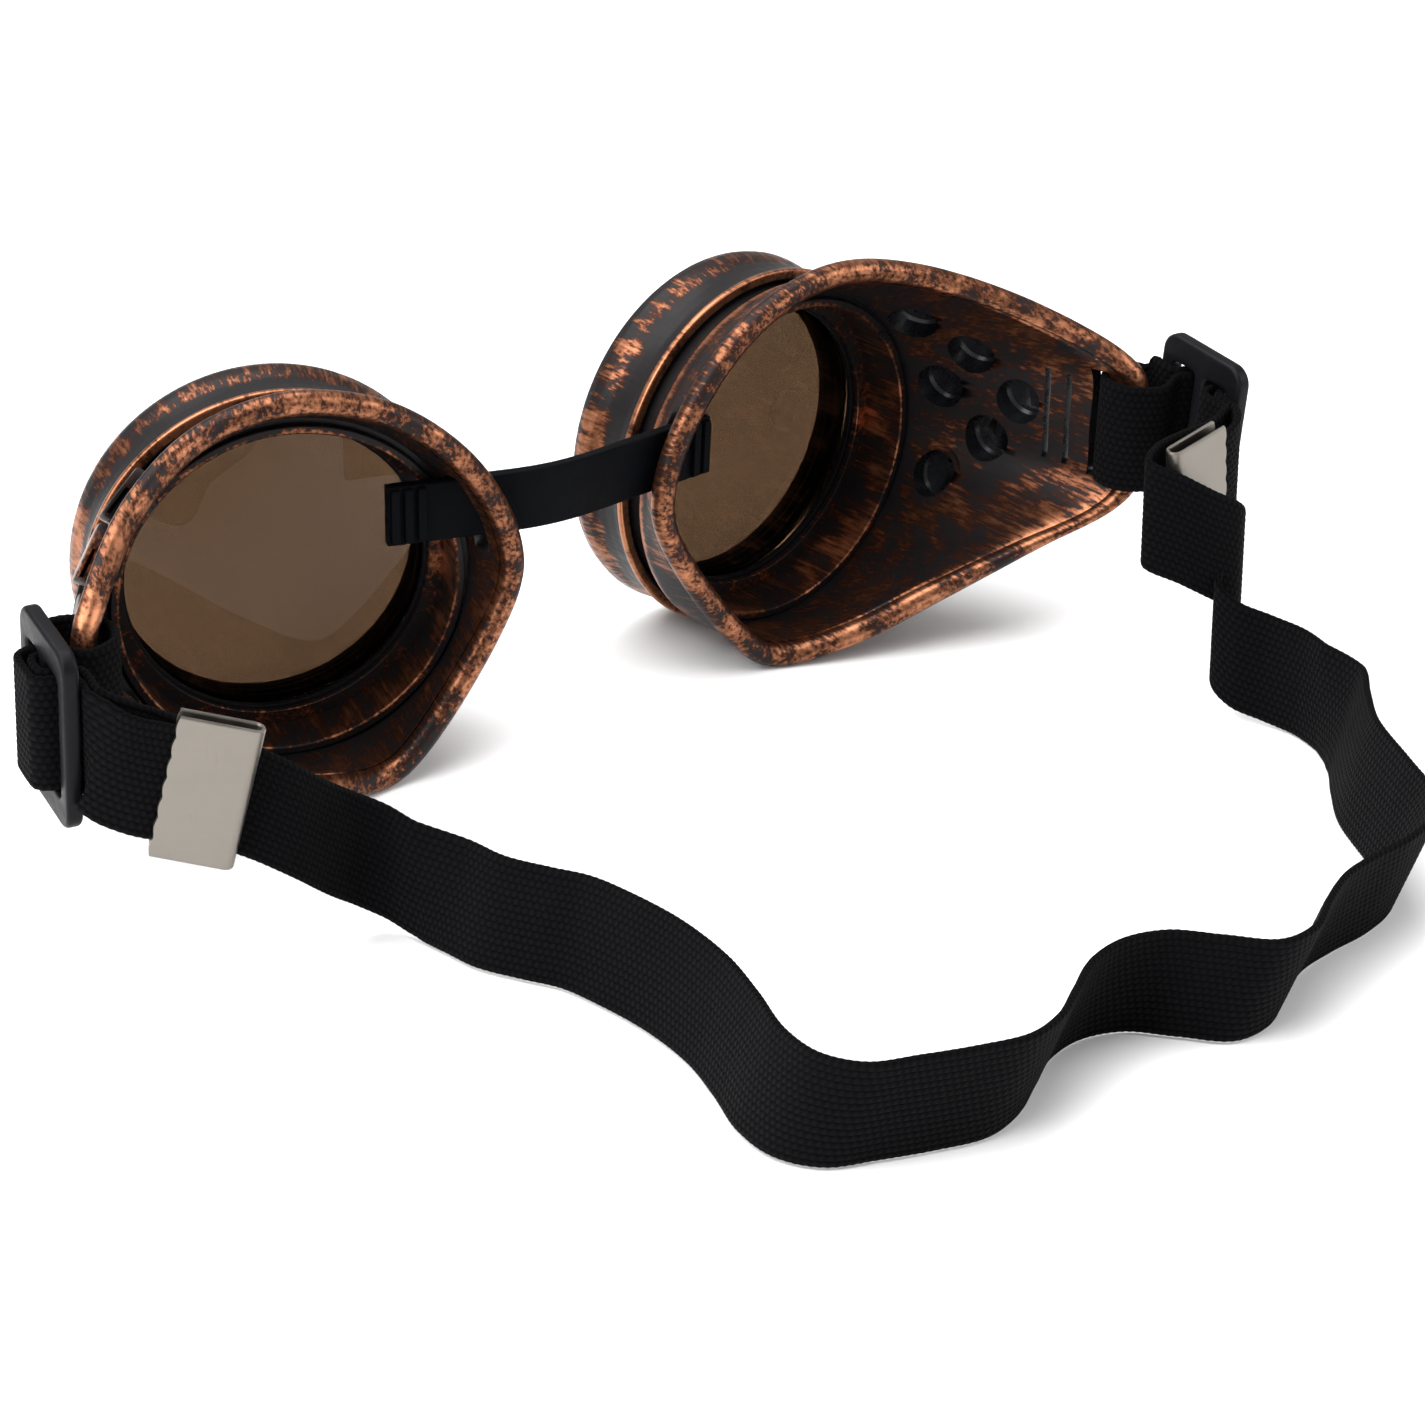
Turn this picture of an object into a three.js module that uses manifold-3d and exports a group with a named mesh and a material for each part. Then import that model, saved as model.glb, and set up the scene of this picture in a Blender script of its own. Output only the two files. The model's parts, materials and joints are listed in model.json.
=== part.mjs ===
// Welding goggles: two deep eye cups on a flexible nose bridge, each with a screwed retaining ring
// that holds a smoked filter lens, and one elastic head strap with a slider and a metal end clip
// at each side.
//
// Millimetres, +Z up, +Y forward (the way the wearer looks), +X towards the wearer's right.
// A cup is designed in its own frame: x outward, y forward along the lens axis, z up, with the
// rear face of the filter lens near y = 0. The left cup is the mirror image of the right one.

import * as THREE from 'three';
import { mergeVertices } from 'three/addons/utils/BufferGeometryUtils.js';
import Module from 'manifold-3d';

const wasm = await Module();
wasm.setup();

// ---------------------------------------------------------------- driving dimensions

const GAP = 0.3;                    // clearance between pieces that touch
const SEGMENTS = 40;                // facets of a full circle

// How the pair stands
const CUP_OFFSET = { x: 45.4, y: 4.0, z: 31.1 };  // lens centre of the right cup
const TOE_IN = 12.25;               // degrees that each lens axis turns inward at the front
const TILT_UP = 3.6;                // degrees that each lens axis rises at the front

// Lens stack, on the lens axis
const LENS_R = 25.0;
const GASKET_INNER_R = 23.9;
const GASKET = { rear: -2.1, front: -1.1 };
const FILTER = { rear: -0.8, front: 1.7 };
const SPACER = { rear: 2.0, front: 2.6 };
const COVER = { rear: 2.9, front: 4.3 };

// Neck of the cup
const NECK_R = 28.2;
const NECK_FRONT = 4.3;
const THREAD_R = 28.7;
const THREAD_PITCH = 3.0;
const THREAD_TURNS_SHOWN = 2;
const LENS_POCKET_R = LENS_R + GAP;
const SEAT_R = 24.4;
const SEAT = { rear: -3.4, front: -2.4 };
const BORE_R = 26.6;
const BORE_LIP = { outer: 28.0, rear: -11.4 };
const FLANGE = { r: 30.6, y: -9.3 };

// Retaining ring
const RING_INNER_R = 29.0;
const RING_REAR = -4.2;
const RING_FRONT = 9.1;
const RING_LIP_R = 30.9;
const RING_BAND_R = 29.9;
const RING_BEAD_R = 30.5;
const RING_WINDOW_R = 23.9;
const SLIP_WASHER = { rear: 4.6, front: 5.1, inner: 24.1, outer: 28.4 };

// Cup wall and rim
const WALL = 2.0;
const WALL_END = 0.93;              // share of the wall's line before it runs into the bead
const BELLY = 0.4;                  // how strongly the wall's line bulges outward
const BEAD_R = 1.95;
const CUP_STATIONS = 40;
// The middle of the rim's rolled bead, right cup, anticlockwise as the wearer sees it from behind
const RIM = [
  [39.6, -51.2, -0.8], [39.6, -51.3, 8.0], [39.6, -51.3, 17.2], [37.6, -48.6, 20.9],
  [28.0, -33.3, 28.1], [14.5, -21.5, 33.0], [0.5, -18.5, 35.0], [-14.5, -17.6, 31.0],
  [-27.0, -17.3, 20.5], [-33.4, -17.1, 7.5], [-33.2, -17.4, -0.8], [-18.4, -20.9, -23.4],
  [-12.5, -22.6, -27.6], [-1.8, -28.6, -25.2], [11.9, -35.7, -18.3], [25.7, -43.1, -11.0],
  [36.5, -49.5, -4.8],
];

// Side vents: hooded round holes in a 3-2-1 triangle that leans rearward towards its foot
const VENTS = [
  { y: -15.2, angle: 40 },
  { y: -16.8, angle: 14 },
  { y: -18.4, angle: -15 },
  { y: -23.0, angle: 27 },
  { y: -25.4, angle: 0.5 },
  { y: -31.0, angle: 14 },
];
const VENT_R = 4.0;
const HOOD = { r: 4.85, height: 1.5, roof: 0.7, mouth: 0.9, width: 4.8 };
const SLIT_YS = [-36.4, -40.3];
const SLIT = { x: 37, z: 8.0, width: 1.0, height: 16.4 };
const CUT_DEPTH = 14;               // of the slits and the slot, across the wall

// Strap slot in the temple tip
const SLOT = { x: 38, y: -45.97, z: 9.0, length: 4.05, height: 19.2 };

// Nose bridge: a flexible strip through a slot in each cup
const BRIDGE = { height: 10, thickness: 2.0, y: -13.4, z: 11.0, bend: -34.5 };
const BRIDGE_END = { left: -15.0, right: -21.5 };  // the right end is pulled further through
const BRIDGE_RISE = { left: 1.2, right: -1.2 };    // from the middle of its slot
const BRIDGE_SLOT = { x: -31, length: 16, gap: 2.9, height: 13.2 };
const RIBS = { pitch: 2.13, length: 1.32, thickness: 3.6, height: 9.2, left: 3, right: 2 };

// Elastic strap
const STRAP_W = 18.6;
const STRAP_T = 1.2;
const LAYER_PITCH = STRAP_T + 0.35; // from one layer to the next where two lie together

// Slider: side bar, window, middle bar, window, side bar
const SLIDER = {
  bar: 3.0, middle: 2.6, window: 5.2, thickness: 2.5, height: 28.6, end: 4.6, corner: 3.2, bevel: 0.4,
};
const SLIDER_LENGTH = 2 * SLIDER.bar + SLIDER.middle + 2 * SLIDER.window;

// End clip of folded sheet metal
const CLIP = { sheet: 0.6, height: 22.6, length: 12.6, teeth: 7, tooth: 0.7 };

// Where a slider sits in its cup's frame, and the way the strap runs rearward through it
const SLIDER_AT = { x: 46.2, y: -59.6, z: 10.2, along: [-0.13, -0.98, -0.06] };
// The strap's turn round the tip of the cup, in the cup's frame at the slot's height: from
// the outer layer, in through the slot, round the tip and out to the slider's front window
const TIP_LOOP = [
  [45.3, -48.6], [43.9, -45.7], [41.2, -44.9], [38.2, -45.9], [35.9, -47.6], [34.9, -50.4],
  [35.5, -53.4], [37.6, -55.5], [40.4, -56.6],
];
// The free tail of each side from the slider to the clip's fold, in the cup's frame
const TAIL = {
  left: [[41.8, -71.2, 8.5], [39.8, -72.7, 7.4], [36.2, -73.9, 6.1], [30.0, -75.5, 4.6],
    [23.9, -77.1, 3.1]],
  right: [[41.2, -72.2, 9.4], [37.8, -73.7, 8.8], [34.5, -74.0, 8.2], [30.3, -74.0, 7.4],
    [25.2, -74.1, 6.6]],
};
// The strap's route from the left slider round the back of the head to the right slider. A
// place is [x, y, z] of the strap's middle, or, where the strap stands on the table, [x, y] of
// its lower edge.
const HEAD_LOOP = [
  [-99.3, -64.5, 35.5], [-96.2, -66.2, 34.0], [-92.9, -66.4, 32.2], [-87.9, -69.0, 29.8],
  [-82.3, -71.8, 27.0], [-76.0, -72.8, 22.6], [-70.0, -70.8, 17.6], [-64.5, -69.2, 13.6],
  [-60.5, -70.8, 11.2], [-58.2, -75.4, 9.8], [-57.0, -81.0], [-55.2, -88.0],
  [-51.4, -94.4], [-48.0, -99.6], [-45.8, -107.0], [-44.0, -117.0], [-43.8, -128.0],
  [-45.4, -137.5], [-47.6, -147.5], [-47.0, -155.5], [-43.0, -160.8], [-36.0, -162.8],
  [-28.0, -164.6], [-20.5, -165.4], [-14.0, -162.8], [-7.5, -157.5], [-1.0, -152.2],
  [6.0, -149.8], [12.5, -151.0], [18.0, -156.0], [24.0, -161.2], [30.5, -160.2],
  [37.5, -154.6], [44.8, -149.6], [52.0, -147.2], [60.0, -145.2], [67.5, -141.4],
  [72.4, -134.8], [75.4, -127.0], [80.0, -115.0], [85.4, -106.4], [90.6, -98.6],
  [94.0, -92.0, 9.3], [94.6, -85.6, 9.4], [92.8, -79.4, 9.9], [89.6, -74.6, 11.4],
  [88.6, -71.2, 14.0], [92.0, -69.2, 18.8], [94.8, -68.6, 23.4], [92.6, -70.2, 26.2], [88.4, -69.8, 28.6],
  [83.8, -67.4, 31.4], [79.8, -63.4, 33.6], [83.9, -60.0, 34.4], [89.9, -58.5, 34.9],
  [96.2, -57.9, 35.5], [99.1, -56.4, 36.0],
];
// How far the standing strap's upper edge leans, per height; more at the back of the head
const LEAN = { x: 0.19, y: -0.15, more: -0.18, from: 110, to: 150 };
const SEAM = [-20.5, -165.4];       // the place where the two halves meet
const STEPS = 2;                    // stations from one listed place to the next

// ---------------------------------------------------------------- materials

const finish = (color, roughness, metalness) =>
  new THREE.MeshStandardMaterial({ color, roughness, metalness });
const COPPER = finish(0x8a5236, 0.42, 0.75);
const RUBBER = finish(0x17181b, 0.78, 0);
const FIBRE = finish(0x3a2a20, 0.85, 0);
const SMOKE = finish(0x5a4738, 0.12, 0);
const CLEAR = finish(0xb9b4a8, 0.08, 0);
const WEBBING = finish(0x1c1d20, 0.9, 0);
const NYLON = finish(0x2d2e33, 0.45, 0);
const NICKEL = finish(0xbab3a6, 0.35, 0.9);

// ---------------------------------------------------------------- solids

// A plain indexed geometry with its faces turned outward
function tidy(geometry) {
  const plain = geometry.clone();
  plain.deleteAttribute('normal');
  plain.deleteAttribute('uv');
  const solid = mergeVertices(plain, 1e-5);
  return volume(solid) < 0 ? flipped(solid) : solid;
}

function volume(geometry) {
  const p = geometry.attributes.position;
  const index = geometry.index.array;
  const [a, b, c] = [new THREE.Vector3(), new THREE.Vector3(), new THREE.Vector3()];
  let sum = 0;
  for (let i = 0; i < index.length; i += 3) {
    a.fromBufferAttribute(p, index[i]);
    b.fromBufferAttribute(p, index[i + 1]);
    c.fromBufferAttribute(p, index[i + 2]);
    sum += a.dot(b.cross(c)) / 6;
  }
  return sum;
}

function flipped(geometry) {
  const index = Array.from(geometry.index.array);
  for (let i = 0; i < index.length; i += 3) {
    [index[i], index[i + 1]] = [index[i + 1], index[i]];
  }
  geometry.setIndex(index);
  return geometry;
}

function toManifold(geometry) {
  const solid = tidy(geometry);
  return new wasm.Manifold(new wasm.Mesh({
    numProp: 3,
    vertProperties: new Float32Array(solid.attributes.position.array),
    triVerts: new Uint32Array(solid.index.array),
  }));
}

function fromManifold(manifold) {
  const mesh = manifold.getMesh();
  const geometry = new THREE.BufferGeometry();
  geometry.setAttribute('position', new THREE.BufferAttribute(mesh.vertProperties, 3));
  geometry.setIndex(new THREE.BufferAttribute(mesh.triVerts, 1));
  return geometry;
}

function combine(base, added, removed) {
  let solid = toManifold(base);
  for (const extra of added) solid = solid.add(toManifold(extra));
  for (const cutter of removed) solid = solid.subtract(toManifold(cutter));
  return fromManifold(solid);
}

// Joins closed profiles, one per station, into one closed skin. A ring of stations closes on
// itself; an open run is capped at both ends.
function loft(stations, closed) {
  const size = stations[0].length;
  const positions = stations.flat().flatMap((v) => [v.x, v.y, v.z]);
  const index = [];
  const last = closed ? stations.length : stations.length - 1;
  for (let s = 0; s < last; s += 1) {
    const here = s * size;
    const next = ((s + 1) % stations.length) * size;
    for (let k = 0; k < size; k += 1) {
      const up = (k + 1) % size;
      index.push(here + k, next + k, next + up, here + k, next + up, here + up);
    }
  }
  if (!closed) {
    const end = (stations.length - 1) * size;
    for (let k = 1; k < size - 1; k += 1) {
      index.push(0, k, k + 1, end, end + k + 1, end + k);
    }
  }
  const geometry = new THREE.BufferGeometry();
  geometry.setAttribute('position', new THREE.Float32BufferAttribute(positions, 3));
  geometry.setIndex(index);
  return tidy(geometry);
}

// A solid of revolution about the lens axis; the profile is a closed list of [radius, y]
function turned(profile) {
  const points = [...profile, profile[0]].map(([r, y]) => new THREE.Vector2(r, y));
  return tidy(new THREE.LatheGeometry(points, SEGMENTS));
}

const washer = (inner, outer, { rear, front }) =>
  turned([[inner, rear], [outer, rear], [outer, front], [inner, front]]);

const disc = (radius, { rear, front }) => tidy(
  new THREE.CylinderGeometry(radius, radius, front - rear, SEGMENTS)
    .translate(0, (front + rear) / 2, 0));

function mirrored(geometry) {
  return tidy(flipped(tidy(geometry.clone()).scale(-1, 1, 1)));
}

// ---------------------------------------------------------------- eye cup

const rimCurve = new THREE.CatmullRomCurve3(
  RIM.map(([x, y, z]) => new THREE.Vector3(x, y, z)), true, 'centripetal');

// The wall's outer line in the half-plane through the lens axis, from the flange to the rim
function wallLine(rimR, rimY) {
  const start = new THREE.Vector2(FLANGE.r, FLANGE.y);
  const end = new THREE.Vector2(rimR, rimY);
  const along = 0.45;
  const middle = start.clone().lerp(end, along);
  middle.x += BELLY * (Math.max(FLANGE.r, rimR) - middle.x);
  return new THREE.QuadraticBezierCurve(start, middle, end);
}

// The cup's whole section at one station of the rim, as [radius, y]
function cupSection(rimR, rimY) {
  const line = wallLine(rimR, rimY);
  const outer = [];
  const inner = [];
  const steps = 5;
  for (let i = 0; i <= steps; i += 1) {
    const t = WALL_END * i / steps;
    const p = line.getPoint(t);
    const d = line.getTangent(t);
    outer.push([p.x, p.y]);
    inner.unshift([p.x + d.y * WALL, p.y - d.x * WALL]);
  }
  const end = line.getPoint(1);
  const d = line.getTangent(1);
  const bead = [];
  for (let degrees = 120; degrees >= -120; degrees -= 48) {
    const a = THREE.MathUtils.degToRad(degrees);
    const forward = BEAD_R * Math.cos(a);
    const out = BEAD_R * Math.sin(a);
    bead.push([end.x + d.x * forward - d.y * out, end.y + d.y * forward + d.x * out]);
  }
  return [...neckProfile(), ...outer, ...bead, ...inner, ...boreProfile()];
}

function neckProfile() {
  const profile = [[NECK_R - 0.6, NECK_FRONT], [NECK_R, NECK_FRONT - 0.6]];
  for (let turn = 0; turn < THREAD_TURNS_SHOWN; turn += 1) {
    const y = NECK_FRONT - 1.7 - turn * THREAD_PITCH;
    profile.push([NECK_R, y + 0.7], [THREAD_R, y + 0.25], [THREAD_R, y - 0.25], [NECK_R, y - 0.7]);
  }
  profile.push([NECK_R, -7.2], [30.0, -7.6]);
  return profile;
}

function boreProfile() {
  return [
    [BORE_LIP.outer + 0.7, BORE_LIP.rear + 1.2], [BORE_LIP.outer, BORE_LIP.rear + 1.2],
    [BORE_LIP.outer, BORE_LIP.rear], [BORE_R + 0.2, BORE_LIP.rear], [BORE_R, BORE_LIP.rear + 0.4],
    [BORE_R, SEAT.rear], [SEAT_R, SEAT.rear], [SEAT_R, SEAT.front],
    [LENS_POCKET_R, SEAT.front], [LENS_POCKET_R, NECK_FRONT],
  ];
}

// A cylinder that points outward through the wall at an angle round the lens axis
function radialCylinder(radius, from, to, y, degrees) {
  return new THREE.CylinderGeometry(radius, radius, to - from, 10)
    .rotateZ(-Math.PI / 2)
    .translate((from + to) / 2, 0, 0)
    .rotateY(-THREE.MathUtils.degToRad(degrees))
    .translate(0, y, 0);
}

function radialBox(size, from, to, y, degrees) {
  return new THREE.BoxGeometry(to - from, size.along, size.across)
    .translate((from + to) / 2, size.shift, 0)
    .rotateY(-THREE.MathUtils.degToRad(degrees))
    .translate(0, y, 0);
}

// The wall's outer radius at a place on the side, read from the rim there
function wallRadiusAt(y, degrees) {
  const target = THREE.MathUtils.degToRad(degrees);
  let best = RIM[0];
  let nearest = Infinity;
  for (const p of rimCurve.getPoints(400)) {
    const off = Math.abs(Math.atan2(p.z, p.x) - target);
    if (off < nearest) {
      nearest = off;
      best = p;
    }
  }
  const line = wallLine(Math.hypot(best.x, best.z), best.y);
  const point = line.getPoints(60).find((p) => p.y <= y);
  return point.x;
}

function ventSolids() {
  const hoods = [];
  const holes = [];
  for (const { y, angle } of VENTS) {
    const r = wallRadiusAt(y, angle);
    const top = r + HOOD.height;
    hoods.push(radialCylinder(HOOD.r, r - WALL / 2, top, y, angle));
    const roof = top - HOOD.roof;
    holes.push(radialCylinder(VENT_R, r - 3 * WALL, roof, y, angle));
    const mouth = { along: HOOD.r + 1, across: HOOD.width, shift: -(HOOD.r + 1) / 2 };
    holes.push(radialBox(mouth, roof - HOOD.mouth, roof, y, angle));
  }
  return { hoods, holes };
}

function cupGeometry() {
  const stations = [];
  for (let s = 0; s < CUP_STATIONS; s += 1) {
    const rim = rimCurve.getPointAt(s / CUP_STATIONS);
    const angle = Math.atan2(rim.z, rim.x);
    const section = cupSection(Math.hypot(rim.x, rim.z), rim.y);
    stations.push(section.map(([r, y]) =>
      new THREE.Vector3(r * Math.cos(angle), y, r * Math.sin(angle))));
  }
  const { hoods, holes } = ventSolids();
  const slits = SLIT_YS.map((y) =>
    new THREE.BoxGeometry(CUT_DEPTH, SLIT.width, SLIT.height).translate(SLIT.x, y, SLIT.z));
  const strapSlot = new THREE.BoxGeometry(CUT_DEPTH, SLOT.length, SLOT.height)
    .translate(SLOT.x, SLOT.y, SLOT.z);
  const bridgeSlot = new THREE.BoxGeometry(BRIDGE_SLOT.length, BRIDGE_SLOT.gap, BRIDGE_SLOT.height)
    .translate(BRIDGE_SLOT.x, BRIDGE.y, BRIDGE.z);
  return combine(loft(stations, true), hoods, [...holes, ...slits, strapSlot, bridgeSlot]);
}

// ---------------------------------------------------------------- ring and washers

function ringGeometry() {
  const seat = SLIP_WASHER.front + GAP;
  return turned([
    [RING_INNER_R, RING_REAR], [RING_LIP_R, RING_REAR], [RING_LIP_R, RING_REAR + 1.1],
    [RING_BAND_R + 0.3, RING_REAR + 1.7], [RING_BAND_R - 0.1, RING_REAR + 4.2],
    [RING_BAND_R, RING_REAR + 7.4], [RING_BEAD_R, RING_FRONT - 4.2],
    [RING_BEAD_R + 0.2, RING_FRONT - 2.4], [RING_BEAD_R - 0.3, RING_FRONT - 0.7],
    [RING_BEAD_R - 1.1, RING_FRONT], [26.4, RING_FRONT], [RING_WINDOW_R, RING_FRONT - 2.2],
    [RING_WINDOW_R, seat], [RING_INNER_R, seat],
  ]);
}

// ---------------------------------------------------------------- strips

// A closed strip through a list of places, each with the point at the strip's middle and the
// way its width stands there
function stations(places, steps) {
  const curve = new THREE.CatmullRomCurve3(places.map(({ at }) => at), false, 'centripetal');
  const count = (places.length - 1) * steps;
  return Array.from({ length: count + 1 }, (_, i) => {
    const from = Math.min(Math.floor(i / steps), places.length - 2);
    const up = places[from].up.clone().lerp(places[from + 1].up, i / steps - from).normalize();
    return { at: curve.getPoint(i / count), up, along: curve.getTangent(i / count) };
  });
}

function strip(sections, width, thickness) {
  return loft(sections.map(({ at, up, along }) => {
    const side = up.clone().cross(along).setLength(thickness / 2);
    const corner = (out, rise) =>
      at.clone().addScaledVector(side, out).addScaledVector(up, rise * width / 2);
    return [corner(1, -1), corner(1, 1), corner(-1, 1), corner(-1, -1)];
  }), false);
}

// ---------------------------------------------------------------- cup frames

function cupFrame(side) {
  const frame = new THREE.Group();
  frame.position.set(side * CUP_OFFSET.x, side * CUP_OFFSET.y, CUP_OFFSET.z);
  frame.rotation.set(
    THREE.MathUtils.degToRad(TILT_UP), 0, side * THREE.MathUtils.degToRad(TOE_IN), 'ZXY');
  frame.updateMatrixWorld(true);
  return frame;
}
const FRAMES = { left: cupFrame(-1), right: cupFrame(1) };
const SIGN = { left: -1, right: 1 };

// A point given in a cup's own frame, x outward, as a point of the whole
function fromCup(side, x, y, z) {
  return new THREE.Vector3(SIGN[side] * x, y, z).applyMatrix4(FRAMES[side].matrixWorld);
}

// A place of a strip given in a cup's own frame, with the way its width stands there
function placeInCup(side, [x, y, z], up = new THREE.Vector3(0, 0, 1)) {
  const at = fromCup(side, x, y, z);
  return { at, up: fromCup(side, x + up.x, y + up.y, z + up.z).sub(at) };
}

// The way out of a standing strip's face and the way its width stands, square to its run
function acrossStrip(along) {
  const outward = new THREE.Vector3(-along.y, along.x, 0).normalize();
  return { outward, up: along.clone().cross(outward).normalize() };
}

// ---------------------------------------------------------------- nose bridge

const TAIL_PLACES = 5;               // places along the straight part inside each cup
const SPAN_PLACES = 10;

function bridgePlaces() {
  const inside = (side) => Array.from({ length: TAIL_PLACES }, (_, i) => {
    const x = THREE.MathUtils.lerp(BRIDGE_END[side], BRIDGE.bend, i / (TAIL_PLACES - 1));
    return placeInCup(side, [x, BRIDGE.y, BRIDGE.z + BRIDGE_RISE[side]]);
  });
  const [left, right] = [inside('left'), inside('right')];
  const [a, b] = [left.at(-1), right.at(-1)];
  const reach = a.at.distanceTo(b.at) / 3;
  const leave = (end, before) =>
    end.at.clone().add(end.at.clone().sub(before.at).setLength(reach));
  const span = new THREE.CubicBezierCurve3(
    a.at, leave(a, left.at(-2)), leave(b, right.at(-2)), b.at);
  const between = span.getPoints(SPAN_PLACES).slice(1, -1)
    .map((at, i) => ({ at, up: a.up.clone().lerp(b.up, (i + 1) / SPAN_PLACES) }));
  return [...left, ...between, ...right.reverse()];
}

// One half of the bridge: the strip up to the seam, and the ribs that keep its end in the cup
function bridgeGeometry(side) {
  const all = stations(bridgePlaces(), 1);
  const middle = (all.length - 1) / 2;
  const half = side === 'left' ? all.slice(0, middle + 1) : all.slice(middle);
  const [end, seam] = side === 'left' ? [half[0], half[middle]] : [half[middle], half[0]];
  seam.at = seam.at.clone().addScaledVector(seam.along, SIGN[side] * GAP / 2);
  const ribs = Array.from({ length: RIBS[side] }, (_, i) => {
    const centre = end.at.clone().addScaledVector(end.along, -SIGN[side] * (i + 0.5) * RIBS.pitch);
    return new THREE.BoxGeometry(RIBS.length, RIBS.thickness, RIBS.height)
      .applyQuaternion(FRAMES[side].quaternion)
      .translate(centre.x, centre.y, centre.z);
  });
  return combine(strip(half, BRIDGE.height, BRIDGE.thickness), ribs, []);
}

// ---------------------------------------------------------------- strap

const sliderAlong = new THREE.Vector3(...SLIDER_AT.along).normalize();
const sliderSides = acrossStrip(sliderAlong);

// A place on the strap given in the slider's frame: along the strap rearward, and outward
function placeInSlider(side, [along, out]) {
  const point = new THREE.Vector3(SLIDER_AT.x, SLIDER_AT.y, SLIDER_AT.z)
    .addScaledVector(sliderAlong, along)
    .addScaledVector(sliderSides.outward, out);
  return placeInCup(side, point.toArray(), sliderSides.up);
}

// The free tail from its end in the clip to the slider
function tailPlaces(side) {
  const run = new THREE.CatmullRomCurve3(TAIL[side].map((point) => new THREE.Vector3(...point)));
  return TAIL[side].map((point, i) =>
    placeInCup(side, point, acrossStrip(run.getTangent(i / (TAIL[side].length - 1))).up)).reverse();
}

// How far the middles of the strap's two layers stand from the slider's middle plane, under
// the side bars and over the middle bar
const FACE = SLIDER.thickness / 2 + GAP + STRAP_T / 2;
const UNDER = { outer: -FACE, inner: -FACE - LAYER_PITCH };
const OVER = { inner: FACE + 0.1, outer: FACE + 0.1 + LAYER_PITCH };

// The outer layer goes under one side bar, out through the window, over the middle bar and
// back in through the other window
function outerLayer() {
  const half = [
    [10.1, UNDER.outer], [6.4, UNDER.outer], [5.1, UNDER.outer + 0.6], [4.5, 0.4],
    [4.3, OVER.outer - 1.6], [3.3, OVER.outer - 0.2], [1.6, OVER.outer],
  ];
  return [...half.map(([a, out]) => [-a, out]), ...half.reverse()];
}

// The inner layer comes straight from the tip, so it has no side bar to pass in front
function innerLayer() {
  return [
    [-3.2, -2.9], [-2.7, -1.2], [-2.6, 0.6], [-2.1, OVER.inner - 0.35], [-0.9, OVER.inner],
    [0.9, OVER.inner], [2.1, OVER.inner - 0.35], [2.6, 0.6], [2.8, -1.4],
    [3.6, UNDER.inner + 0.4], [5.2, UNDER.inner], [9.6, UNDER.inner],
  ];
}

// The strap of one side from the end of its tail, through the slider, round the tip of the
// cup, through the slider again and out to the head loop
function strapEnd(side) {
  const inSlider = (pair) => placeInSlider(side, pair);
  return [
    ...tailPlaces(side),
    ...outerLayer().reverse().map(inSlider),
    ...TIP_LOOP.map(([x, y]) => placeInCup(side, [x, y, SLOT.z])),
    ...innerLayer().map(inSlider),
  ];
}

// A place of the head loop, held up or standing on the table
function headPlace([x, y, z]) {
  if (z !== undefined) return { at: new THREE.Vector3(x, y, z), up: new THREE.Vector3(0, 0, 1) };
  const lean = LEAN.y + LEAN.more * THREE.MathUtils.smoothstep(-y, LEAN.from, LEAN.to);
  const up = new THREE.Vector3(LEAN.x, lean, 1).normalize();
  return { at: new THREE.Vector3(x, y, STRAP_T / 4).addScaledVector(up, STRAP_W / 2), up };
}

function strapGeometries() {
  const loop = HEAD_LOOP.map(headPlace);
  const left = strapEnd('left');
  const all = stations([...left, ...loop, ...strapEnd('right').reverse()], STEPS);
  const meeting = HEAD_LOOP.findIndex(([x, y]) => x === SEAM[0] && y === SEAM[1]);
  const seam = (left.length + meeting) * STEPS;
  const shifted = (by) => {
    const { at, up: rise, along } = all[seam];
    return { at: at.clone().addScaledVector(along, by), up: rise, along };
  };
  return {
    left: strip([...all.slice(0, seam), shifted(-GAP / 2)], STRAP_W, STRAP_T),
    right: strip([shifted(GAP / 2), ...all.slice(seam + 1)], STRAP_W, STRAP_T),
  };
}

// ---------------------------------------------------------------- slider and clip

function slab(width, height, thickness, corner) {
  const [x, y] = [width / 2, height / 2];
  const shape = new THREE.Shape();
  shape.moveTo(-x + corner, -y);
  shape.lineTo(x - corner, -y);
  shape.absarc(x - corner, -y + corner, corner, -Math.PI / 2, 0);
  shape.lineTo(x, y - corner);
  shape.absarc(x - corner, y - corner, corner, 0, Math.PI / 2);
  shape.lineTo(-x + corner, y);
  shape.absarc(-x + corner, y - corner, corner, Math.PI / 2, Math.PI);
  shape.lineTo(-x, -y + corner);
  shape.absarc(-x + corner, -y + corner, corner, Math.PI, 1.5 * Math.PI);
  return new THREE.ExtrudeGeometry(shape, {
    depth: thickness - 2 * SLIDER.bevel,
    bevelThickness: SLIDER.bevel,
    bevelSize: SLIDER.bevel,
    bevelOffset: -SLIDER.bevel,
    bevelSegments: 1,
    curveSegments: 4,
  }).translate(0, 0, SLIDER.bevel - thickness / 2);
}

// The slider lies in x (along the strap) and y (up), with its thickness along z
function sliderGeometry() {
  const plate = slab(SLIDER_LENGTH, SLIDER.height, SLIDER.thickness, SLIDER.corner);
  const opening = SLIDER.height - 2 * SLIDER.end;
  const offset = (SLIDER.middle + SLIDER.window) / 2;
  const windows = [-offset, offset].map((x) =>
    new THREE.BoxGeometry(SLIDER.window, opening, 2 * SLIDER.thickness).translate(x, 0, 0));
  return combine(plate, [], windows);
}

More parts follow.
